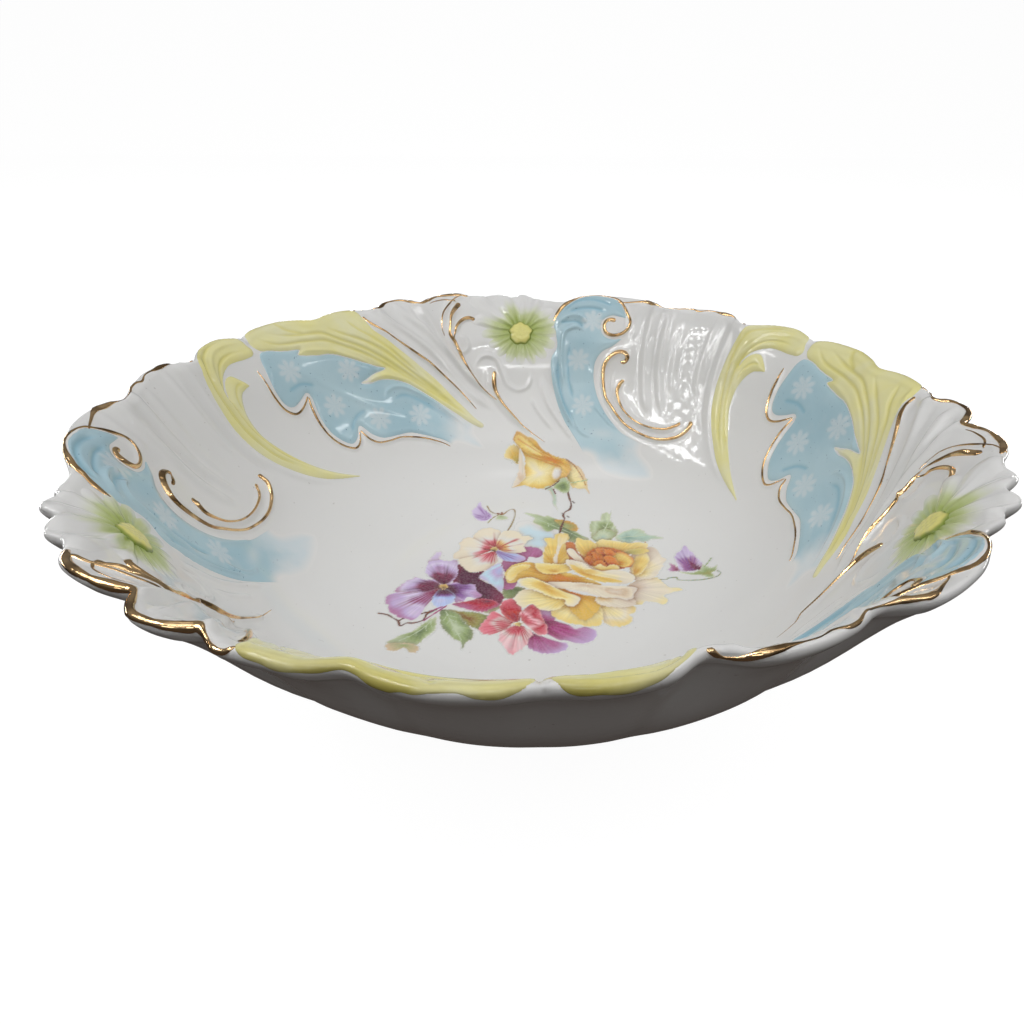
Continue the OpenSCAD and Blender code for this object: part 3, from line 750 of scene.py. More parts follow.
# ---------------------------------------------------------------- daisies
DAISY_C, DAISY_R = 1.2, 116.0
DAISY_MIDDLE = np.array([DAISY_C]), np.array([DAISY_R])
# Petals that reach past this radius keep the width that they have there.
PETAL_R = 130.0
# Each petal's direction in degrees, 0 to the right and 90 to the rim, and its length in mm.
PETALS = [(1, 18), (22, 19), (43, 19.8), (64, 22.2), (86, 22.6), (114, 25), (137, 30.4),
          (160, 23), (181, 18), (203, 16), (225, 15.5), (247, 15.5), (269, 15.5), (291, 16),
          (313, 16.5), (337, 17)]


def daisy_place(rho, theta):
    """The place (c, r) that is rho mm from the daisy's middle in the direction theta."""
    x, y = rho * np.cos(theta), rho * np.sin(theta)
    r = radius_at(arc(DAISY_R) + y)
    return DAISY_C + x / (DEG * np.minimum(r, PETAL_R)), r


def make_daisy(material):
    """The petals are one relief, with each petal's length, blade, vein and tip by direction."""
    petals = sorted((a % 360, length) for a, length in PETALS)
    angles = np.array([a for a, _ in petals])
    lengths = np.array([b for _, b in petals])
    angles = np.concatenate([[angles[-1] - 360], angles, [angles[0] + 360]])
    lengths = np.concatenate([[lengths[-1]], lengths, [lengths[0]]])
    n, rows = 320, 34
    # the petal nearest to each direction, and how far off its middle the direction is, 0 to 1
    theta = np.arange(n) * 360 / n
    i = np.searchsorted(angles, theta, side="right") - 1
    gap = (theta - angles[i]) / (angles[i + 1] - angles[i])
    nearest = np.where(gap < 0.5, i, i + 1)
    across = np.where(gap < 0.5, gap, 1 - gap) * 2
    reach = lengths[nearest] * (1 - 0.14 * across ** 2.4)
    both = 0.5 * (lengths[i] + lengths[i + 1]) * 0.86
    reach = reach + (both - reach) * ramp((across - 0.55) / 0.45) * 0.8
    # height over the wall: a crowned blade with a sunken vein, which thins out at the tip
    t = np.linspace(0.06, 1, rows)[:, None] ** 0.8
    rho = t * reach[None, :]
    blade = (0.5 + 0.5 * np.cos(np.pi * across))[None, :]
    vein = np.exp(-(across / 0.16) ** 2)[None, :]
    start = ramp((rho - 3) / 5)
    long = ramp((reach[None, :] - 17) / 6)
    tip = np.clip((1 - t) / (0.3 - 0.14 * long), 0, 1) ** 0.6
    h = (0.14 + (0.3 + 0.55 * long) * blade ** 0.8 * start
         - 0.16 * vein * start * ramp((1 - t) * 3)) * tip - 0.08
    th = theta * DEG
    c, r = daisy_place(rho, np.broadcast_to(th[None, :], rho.shape))
    q = row_of(c, r)
    base = relief(c, r)[0]
    top = lifted(c, q, base * ramp(t * 2) * (0.5 + 0.5 * ramp((t - 0.55) / 0.45)) + h)
    under = lifted(c[-1], q[-1], base[-1] * 0.5 - 0.6)
    halfway = lifted(c[rows // 2], q[rows // 2], -0.9)
    points = np.vstack([top.reshape(-1, 3), under, halfway, on_wall(*DAISY_MIDDLE, 0.25),
                        on_wall(*DAISY_MIDDLE, -1.4)])
    # the green runs out unevenly from the middle
    rng = np.random.default_rng(7)
    streak = 0
    for step, share in ((20, 0.75), (5, 0.4)):
        v = rng.uniform(-1, 1, n // step)
        streak = streak + share * np.interp(np.arange(n) / step, np.arange(n // step + 1),
                                            np.append(v, v[0]))
    tint = 1 - ramp((rho - 3.5) / (15 + 5.5 * streak[None, :]))
    tint = tint * (0.85 + 0.15 * (1 - blade))
    pad = np.zeros(2 * n + 2)
    fields = {"tint": np.concatenate([tint.ravel(), pad]),
              # darker between the petals: painted shade
              "pool_and_shade": np.concatenate([(across[None, :] ** 4 * np.ones_like(rho)).ravel(), pad])}
    three_times("daisy", points, capped(rows + 2, n), material, fields)


def make_boss(material):
    """The daisy's middle: a low lump of little beads with a sunken edge."""
    n, rows = 64, 22
    rng = np.random.default_rng(11)
    beads = [(0.0, 0.0)]
    for rho, m in ((1.7, 6), (3.3, 11)):
        beads += [(rho * math.cos(a), rho * math.sin(a))
                  for a in np.arange(m) * 2 * math.pi / m + rng.uniform(0, 0.5)]
    th = np.arange(n) * 2 * math.pi / n
    outline = 4.9 * (1 + 0.26 * np.sin(th) ** 2 + 0.09 * np.sin(2 * th + 1)
                     + 0.06 * np.sin(5 * th) + 0.05 * np.sin(9 * th))
    t = np.linspace(0.05, 1, rows)[:, None]
    rho = t * outline[None, :]
    x, y = rho * np.cos(th), rho * np.sin(th)
    bump = np.zeros_like(x)
    for bx, by in beads:
        bump = np.maximum(bump, np.exp(-((x - bx) ** 2 + (y - by) ** 2) / 0.95))
    h = 1.1 * np.clip(1 - t ** 4, 0, 1) ** 0.6 + 0.22 * bump * (1 - t ** 4) + 0.2
    c, r = daisy_place(rho, np.broadcast_to(th[None, :], rho.shape))
    q = row_of(c, r)
    top = lifted(c, q, h)
    under = lifted(c[-1], q[-1], -0.9)
    points = np.vstack([top.reshape(-1, 3), under,
                        lifted(DAISY_MIDDLE[0], row_of(*DAISY_MIDDLE), 1.52),
                        lifted(*DAISY_MIDDLE, -1.2)])
    edge = ramp((t - 0.72) / 0.28) * np.ones_like(rho)
    fields = {"tint": np.concatenate([edge.ravel(), np.ones(n), [0, 1]]),
              # deeper yellow between the beads: partly glaze pooled there, partly painted shade
              "pool_and_shade": np.concatenate([(1 - bump).ravel(), np.ones(n), [0, 1]])}
    three_times("daisy_boss", points, capped(rows + 1, n), material, fields)


# ---------------------------------------------------------------- materials
def srgb(*rgb):
    """Screen values of 0 to 255 as linear light."""
    return tuple(((v / 255 + 0.055) / 1.055) ** 2.4 if v > 10 else v / 255 / 12.92 for v in rgb)


class Shader:
    """A material with one Principled shader, and short ways to add nodes to it."""

    def __init__(self, name, roughness=0.12, metallic=0.0):
        self.material = bpy.data.materials.new(name)
        self.material.use_nodes = True
        self.tree = self.material.node_tree
        self.bsdf = self.tree.nodes["Principled BSDF"]
        self.bsdf.inputs["Roughness"].default_value = roughness
        self.bsdf.inputs["Metallic"].default_value = metallic
        self.place = self.add("ShaderNodeTexCoord").outputs["Object"]

    def add(self, kind, **values):
        node = self.tree.nodes.new(kind)
        for key, value in values.items():
            setattr(node, key, value)
        return node

    def link(self, out, socket):
        self.tree.links.new(out, socket)

    def noise(self, scale, detail=3.0, rough=0.5):
        node = self.add("ShaderNodeTexNoise")
        node.inputs["Scale"].default_value = scale
        node.inputs["Detail"].default_value = detail
        node.inputs["Roughness"].default_value = rough
        self.link(self.place, node.inputs["Vector"])
        return node.outputs["Fac"]

    def field(self, name):
        return self.add("ShaderNodeAttribute", attribute_name=name).outputs["Fac"]

    def range(self, value, low, high, to_low=0.0, to_high=1.0):
        node = self.add("ShaderNodeMapRange")
        for key, v in (("From Min", low), ("From Max", high), ("To Min", to_low),
                       ("To Max", to_high)):
            node.inputs[key].default_value = v
        self.link(value, node.inputs["Value"])
        return node.outputs["Result"]

    def math(self, kind, a, b):
        node = self.add("ShaderNodeMath", operation=kind)
        for i, v in enumerate((a, b)):
            if isinstance(v, (int, float)):
                node.inputs[i].default_value = v
            else:
                self.link(v, node.inputs[i])
        return node.outputs[0]

    def mix(self, factor, a, b):
        node = self.add("ShaderNodeMix", data_type="RGBA")
        self.link(factor, node.inputs[0])
        for i, v in ((6, a), (7, b)):
            if isinstance(v, tuple):
                node.inputs[i].default_value = (*v, 1)
            else:
                self.link(v, node.inputs[i])
        return node.outputs[2]

    def colour(self, out):
        self.link(out, self.bsdf.inputs["Base Color"])

    def ripple(self, scale=120, strength=0.09, distance=0.0004):
        """The slight unevenness of a fired glaze, with a finer orange peel in it."""
        bump = self.add("ShaderNodeBump")
        bump.inputs["Strength"].default_value = strength
        bump.inputs["Distance"].default_value = distance
        peel = self.math("MULTIPLY", self.noise(scale * 4, 1.0), 0.25)
        self.link(self.math("ADD", self.noise(scale, 2.0, 0.5), peel), bump.inputs["Height"])
        self.link(bump.outputs["Normal"], self.bsdf.inputs["Normal"])

    def uneven_gloss(self, low, high, scale=40):
        self.link(self.range(self.noise(scale, 4), 0.3, 0.7, low, high),
                  self.bsdf.inputs["Roughness"])

    def glazed(self, colour, gloss=(0.035, 0.09), ripple=()):
        """The finished material: this colour, under a glaze of this gloss and ripple."""
        self.colour(colour)
        self.uneven_gloss(*gloss)
        self.ripple(*ripple)
        return self.material


WHITE = (0.80, 0.795, 0.785)
# the white in painted shade, for the grooves and between the daisy's petals
WHITE_IN_SHADE = (0.66, 0.655, 0.64)


def porcelain():
    m = Shader("porcelain")
    cloudy = m.range(m.noise(14, 3), 0.35, 0.65)
    base = m.mix(cloudy, WHITE, tuple(v * 0.97 for v in WHITE))
    specks = m.range(m.noise(900, 0), 0.84, 0.88, 0, 0.35)
    base = m.mix(specks, base, (0.33, 0.30, 0.27))
    # painted shade: the grooves darken towards the shaded white
    return m.glazed(m.mix(m.range(m.field("pool_and_shade"), 0, 1, 0, 0.35), base, WHITE_IN_SHADE))


def foot_glaze():
    m = Shader("foot_porcelain")
    base = m.mix(m.range(m.noise(60, 4), 0.4, 0.65), WHITE, (0.62, 0.59, 0.54))
    return m.glazed(base, (0.14, 0.3, 80), (200, 0.1))


def blue_enamel():
    m = Shader("blue_enamel")
    soft = m.noise(45, 3)
    base = m.mix(m.range(soft, 0.35, 0.65), (0.41, 0.59, 0.67), (0.49, 0.655, 0.72))
    # deeper blue in the grooves: partly glaze pooled there, partly painted shade
    base = m.mix(m.range(m.field("pool_and_shade"), 0, 1, 0, 0.75), base, (0.27, 0.49, 0.60))
    # pale where the ghost daisies are, and at the painted highlight near the scroll's low end
    base = m.mix(m.range(m.field("ghosts_and_highlight"), 0, 1, 0, 0.7), base, (0.71, 0.76, 0.78))
    specks = m.range(m.noise(1300, 0), 0.80, 0.84, 0, 0.8)
    base = m.mix(specks, base, (0.14, 0.24, 0.34))
    wisps = m.math("ADD", m.field("fade"), m.range(m.noise(120, 4), 0.3, 0.7, -0.14, 0.14))
    haze = m.mix(m.range(soft, 0.38, 0.62, 0.25, 1), WHITE, (0.68, 0.75, 0.785))
    base = m.mix(m.range(wisps, 0.05, 0.95), base, haze)
    return m.glazed(m.mix(m.range(m.field("vanish"), 0.05, 0.5), base, WHITE))


def yellow_enamel():
    m = Shader("yellow_enamel")
    base = m.mix(m.range(m.noise(60, 4), 0.3, 0.7), (0.83, 0.775, 0.32), (0.82, 0.795, 0.52))
    # deeper yellow in the grooves: partly glaze pooled there, partly painted shade
    base = m.mix(m.range(m.field("pool_and_shade"), 0.1, 1, 0, 0.5), base, (0.72, 0.65, 0.16))
    # dark olive patches towards and under the lip: partly glaze gathered at the rim, partly
    # painted shade under the lip
    gathered_and_shaded = m.math("MULTIPLY", m.field("rim"), m.range(m.noise(70, 4), 0.28, 0.55))
    base = m.mix(m.range(gathered_and_shaded, 0, 1, 0, 0.85), base, (0.47, 0.40, 0.06))
    return m.glazed(m.mix(m.range(m.field("fade"), 0, 1, 0, 0.85), base, WHITE))


def daisy_glaze():
    m = Shader("daisy_porcelain")
    uneven = m.range(m.noise(260, 4), 0.25, 0.75, 0.82, 1.12)
    streaks = m.math("MULTIPLY", m.field("tint"), uneven)
    # painted shade between the petals
    base = m.mix(m.range(m.field("pool_and_shade"), 0, 1, 0, 0.25), WHITE, WHITE_IN_SHADE)
    base = m.mix(m.range(streaks, 0.0, 0.4), base, (0.64, 0.69, 0.42))
    base = m.mix(m.range(streaks, 0.25, 0.8), base, (0.42, 0.50, 0.16))
    return m.glazed(m.mix(m.range(streaks, 0.8, 1.1), base, (0.27, 0.34, 0.06)))


def boss_glaze():
    m = Shader("yellow_boss")
    base = m.mix(m.range(m.noise(500, 3), 0.3, 0.7), (0.80, 0.75, 0.26), (0.76, 0.71, 0.24))
    # between the beads: partly glaze pooling, partly painted shade
    base = m.mix(m.range(m.field("pool_and_shade"), 0.5, 1, 0, 0.3), base, (0.62, 0.57, 0.12))
    base = m.mix(m.range(m.field("tint"), 0.2, 1), base, (0.20, 0.27, 0.04))
    return m.glazed(base, (0.1, 0.2), (300, 0.2))


def gold():
    m = Shader("gilding", metallic=1.0)
    base = m.mix(m.range(m.noise(160, 4), 0.3, 0.7), (0.90, 0.64, 0.36), (0.74, 0.47, 0.22))
    # dark brown patches in the gold's colour: painted dark reflections of a dark room
    dark = m.range(m.noise(120, 2), 0.50, 0.62, 0, 0.8)
    base = m.mix(dark, base, (0.20, 0.115, 0.05))
    worn = m.range(m.noise(420, 4, 0.65), 0.66, 0.74, 0, 0.8)
    base = m.mix(worn, base, (0.42, 0.27, 0.17))
    return m.glazed(base, (0.07, 0.18, 300), (190, 0.4, 0.0005))


# ---------------------------------------------------------------- enamel colours over each area
GHOSTS = [(67.5, 115), (74, 106), (83.5, 100), (80.5, 112), (94, 98.5), (17, 119.5),
          (14.8, 110.3), (17.3, 99.3)]


def ghost_daisies(c, r):
    """Faint eight-petalled flowers under the blue glaze."""
    out = np.zeros(c.shape)
    for i, (gc, gr) in enumerate(GHOSTS):
        x, y = (c - gc) * DEG * r, arc(r) - arc(gr)
        rho, a = np.hypot(x, y), np.arctan2(y, x) + 0.3 * i
        lobes = np.abs(np.cos(4 * a))
        edge = 5.9 * (0.5 + 0.5 * lobes ** 0.55)
        veins = 0.5 + 0.5 * np.cos(32 * a)
        out = np.maximum(out, ramp((edge - rho) / 1.7) * (0.62 + 0.3 * lobes - 0.15 * veins))
    return out


# The open ends of the blue colours.
SCROLL_END = to_arc([(20.6, 80.5)] + SCROLL[10:17])
LEAF_END = to_arc([(102, 86.4), (103, 86), (108, 83), (112, 84), (111, 88.5), (109.4, 91.4)])


def vanishing(c, r, end, reach):
    """How far a colour has gone at its open end, which has no edge: 1 where nothing is left."""
    return 1 - ramp(path_distance(c, arc(r), r, end)[0] / reach)


def scroll_fields(c, r):
    """The fields that the enamel's material reads, at each place on the patch."""
    fade = np.maximum(ramp((90 - r) / 11), ramp((c - 26) / 10) * ramp((97 - r) / 3))
    # a pale spot near the scroll's low end: a painted highlight, carried in the same field as the
    # ghost daisies
    cloud = np.exp(-((c - 24) * DEG * 93 / 6) ** 2 - ((r - 91.8) / 1.6) ** 2) * 0.7
    return {"fade": fade, "ghosts_and_highlight": np.maximum(ghost_daisies(c, r), cloud),
            "vanish": vanishing(c, r, SCROLL_END, 9.5)}


def leaf_fields(c, r):
    fade = np.maximum(ramp((c - 96) / 10) ** 1.2, ramp((91 - r) / 5))
    return {"fade": fade, "ghosts_and_highlight": ghost_daisies(c, r) * (1 - fade),
            "vanish": vanishing(c, r, LEAF_END, 7)}


def near_rim(c, r):
    """From 0 a little inside the rim to 1 under the lip, where the yellow turns dark olive: glaze
    gathered at the rim, and painted shade under the lip.
    """
    return ramp((r - RIM_R - rim_out(c) + 1) / 4)


def yellow_leaf_fields(c, r):
    return {"fade": np.zeros(c.shape), "vanish": np.zeros(c.shape), "rim": near_rim(c, r)}


def acanthus_fields(c, r):
    tip = ramp((c - 103) / 8) * 0.3
    barb = np.exp(-((c - 83.5) / 2.2) ** 2 - ((r - 109.3) / 1.6) ** 2) * 0.7
    return {"fade": np.maximum(tip, barb), "vanish": np.zeros(c.shape), "rim": near_rim(c, r)}


def make_enamel():
    blue, yellow = blue_enamel(), yellow_enamel()
    enamel_patch("blue_scroll", SCROLL, 0.22, blue, scroll_fields)
    enamel_patch("blue_leaf", LEAF, 0.22, blue, leaf_fields)
    enamel_patch("yellow_acanthus", ACANTHUS, 0.22, yellow, acanthus_fields)
    enamel_patch("yellow_leaf", YELLOW_LEAF, 0.26, yellow, yellow_leaf_fields)


# ---------------------------------------------------------------- the printed flowers
# They are drawn in a flat plan, in mm, that is turned a little against the bowl. Colours are
# those of the printed glaze beside white porcelain at PAPER.
PLAN_TURN = -3.8
PAPER = 203
STEP = 0.34
# Each flower's CAD node and material slot. A place on the plan is owned by one of them.
PRINTS = [("printed_leaves", "leaf_print"), ("printed_white_pansy", "white_pansy_print"),
          ("printed_violet_pansy", "violet_pansy_print"),
          ("printed_pink_pansy", "pink_pansy_print"), ("printed_rose", "rose_print"),
          ("printed_rosebud", "rosebud_print")]
LEAVES, CREAM, VIOLET, PINK, ROSE, BUD = range(len(PRINTS))


def ink(*rgb):
    """A printed colour as the glaze's own colour."""
    white = np.array(srgb(PAPER))
    return np.array(srgb(*rgb)) / white * np.array(WHITE[0])


INK = {
    "white": ink(206, 203, 199), "cream": ink(212, 202, 182), "tan": ink(194, 170, 142),
    "greycream": ink(203, 190, 176), "pale": ink(217, 203, 148), "yellow": ink(213, 188, 108),
    "gold": ink(203, 166, 80), "ochre": ink(188, 134, 52), "orange": ink(196, 116, 52),
    "red": ink(182, 74, 48), "brown": ink(120, 70, 44), "dark": ink(72, 40, 34),
    "leaf": ink(136, 152, 102), "leafdeep": ink(92, 108, 72), "leafpale": ink(178, 188, 160),
    "olive": ink(146, 140, 78), "sea": ink(160, 182, 168), "seadeep": ink(112, 142, 128),
    "plum": ink(84, 38, 62), "wine": ink(126, 48, 78), "mauve": ink(160, 96, 136),
    "lilac": ink(178, 156, 194), "lilacpale": ink(198, 186, 210), "blue": ink(158, 176, 214),
    "sky": ink(176, 202, 216), "crimson": ink(168, 44, 58), "rosepink": ink(206, 112, 126),
    "pinkpale": ink(214, 170, 176), "violet": ink(128, 84, 148), "scarlet": ink(176, 56, 46),
    "magenta": ink(158, 62, 118),
}


def wobble(seed, n=256):
    """A smooth random line of values from -1 to 1 that repeats after n."""
    v = np.random.default_rng(seed).uniform(-1, 1, n)
    return lambda t: np.interp(np.mod(t, n), np.arange(n + 1), np.append(v, v[0]))


class Painting:
    """The flat plan: its colours, what covers it, and which flower owns each place."""

    def __init__(self, low, high):
        self.x, self.y = np.meshgrid(np.arange(low[0], high[0], STEP),
                                     np.arange(low[1], high[1], STEP))
        self.rgb = np.ones(self.x.shape + (3,)) * np.array(WHITE)
        self.cover = np.zeros(self.x.shape)
        self.owner = np.full(self.x.shape, -1)
        self.count = 0
        waves = np.random.default_rng(5).uniform(-1, 1, (14, 3))
        self.mottle = sum(np.sin(self.x * a * 0.9 + self.y * b * 0.9 + 9 * k)
                          for a, b, k in waves) / 4

    def window(self, path, margin):
        """The part of the plan around a path."""
        low, high = path.min(0) - margin, path.max(0) + margin
        i = np.where((self.y[:, 0] > low[1]) & (self.y[:, 0] < high[1]))[0]
        j = np.where((self.x[0] > low[0]) & (self.x[0] < high[0]))[0]
        return slice(i[0], i[-1] + 1), slice(j[0], j[-1] + 1)

    def lay(self, w, owner, alpha, colour):
        """Paint on the part w of the plan."""
        a = alpha[..., None]
        self.rgb[w] = self.rgb[w] * (1 - a) + colour * a
        self.owner[w] = np.where(alpha > 0.25, owner, self.owner[w])
        fresh = (alpha > 0.01) & (self.owner[w] < 0)
        self.owner[w] = np.where(fresh, owner, self.owner[w])
        self.cover[w] = np.maximum(self.cover[w], alpha)

    @staticmethod
    def extent(path, base):
        """How far the outline lies from the base point in each direction."""
        rho = np.hypot(path[:, 0] - base[0], path[:, 1] - base[1])
        turn = np.arctan2(path[:, 1] - base[1], path[:, 0] - base[0])
        bins = np.linspace(-np.pi, np.pi, 37)
        far = np.array([rho[np.abs(np.angle(np.exp(1j * (turn - b)))) < 0.26].max(initial=0)
                        for b in bins])
        known = far > 0.5
        far = np.interp(bins, bins[known], far[known])
        return lambda a: np.interp(a, bins, far)

    def petal(self, owner, outline, base, tones, streak=0.14, rays=None, edge="cream",
              rim=0.45, shade=0.42, soft=0.42, opaque=1.0, frill=0.3):
        """One petal or leaf: its tones run from its base point out to its edge. `rays` are darker
        lines from the base: their ink, how many, and how far they reach."""
        self.count += 1
        path = smooth(outline, 7, closed=True)
        w = self.window(path, 3.5)
        x, y = self.x[w], self.y[w]
        d, _ = flat_distance(x, y, looped(path))
        inside = inside_path(x, y, path)
        angle = np.arctan2(y - base[1], x - base[0])
        ruffle = wobble(self.count + 300)
        signed = np.where(inside, d, -d)
        signed = signed + frill * (ruffle(angle * 17 + 50) + 0.6 * ruffle(angle * 37 + 90))
        # it throws a soft shadow on what is painted already
        cast = shade * np.exp(-np.maximum(-signed, 0) / 1.0) * (signed < 0.2) * self.cover[w]
        self.rgb[w] *= 1 - cast[..., None] * np.array([0.75, 1.0, 1.1])
        bx, by = base
        rho = np.hypot(x - bx, y - by)
        t = np.clip(rho / self.extent(path, base)(angle), 0, 1)
        # tones, with fine streaks along the petal
        line, cloud = wobble(self.count), wobble(self.count + 500)
        drift = 0.06 * cloud(angle * 5 + 40) + 0.12 * self.mottle[w]
        t = np.clip(t + drift * np.sin(np.pi * t), 0, 1)
        stops = np.array([INK[name] for name in tones.split()])
        at = np.linspace(0, 1, len(stops))
        colour = np.stack([np.interp(t, at, stops[:, i]) for i in range(3)], -1)
        fine = line(angle * 26 + 60) * 0.6 + line(angle * 61 + 90) * 0.4
        colour *= 1 + (streak * fine * np.sin(np.pi * np.clip(t, 0.1, 1)))[..., None]
        if rays:
            ink_name, number, length = rays
            spread = 0.5 + 0.5 * np.cos(3.4 * number * angle + 1.6 * line(angle * 7))
            strength = (0.25 + 0.75 * spread) * ramp((length + 0.25 * line(angle * 9 + 20) - t)
                                                     / (length * 0.7))
            colour += (INK[ink_name] - colour) * strength[..., None]
        # a lighter edge
        light = rim * np.exp(-np.maximum(signed, 0) / 0.45) * (0.7 + 0.3 * cloud(angle * 9))
        colour += (INK[edge] - colour) * np.clip(light, 0, 1)[..., None]
        self.lay(w, owner, ramp(signed / soft + 0.5) * opaque, colour)

    def line(self, owner, points, width, name, name2=None):
        """A stem or vein, `width` the half width in mm."""
        path = smooth(points, 6)
        w = self.window(path, 2)
        x, y = self.x[w], self.y[w]
        d, t = flat_distance(x, y, path)
        thick = width * (0.75 + 0.35 * wobble(self.count + 9)(t * 13))
        first, second = INK[name], INK[name2 or name]
        colour = first + (second - first) * ramp((y - x) * 0.6 % 1.0)[..., None]
        self.lay(w, owner, ramp((thick - d) / 0.3 + 0.5), colour)

    def veins(self, owner, spine, name="leafpale", width=0.13, pairs=4, reach=3.6):
        """A leaf's midrib and side veins."""
        path = smooth(spine, 6)
        self.line(owner, spine, width * 1.4, name)
        for i in range(1, pairs + 1):
            k = int(len(path) * i / (pairs + 1.4))
            ahead = path[min(k + 2, len(path) - 1)] - path[k]
            ahead = ahead / (np.hypot(*ahead) + 1e-9)
            for side in (-1, 1):
                out = np.array([-ahead[1], ahead[0]]) * side
                end = path[k] + (out * 0.8 + ahead * 0.9) * reach * (1 - 0.2 * i)
                self.line(owner, [path[k], (path[k] + end) / 2 + ahead * 0.2, end], width, name)


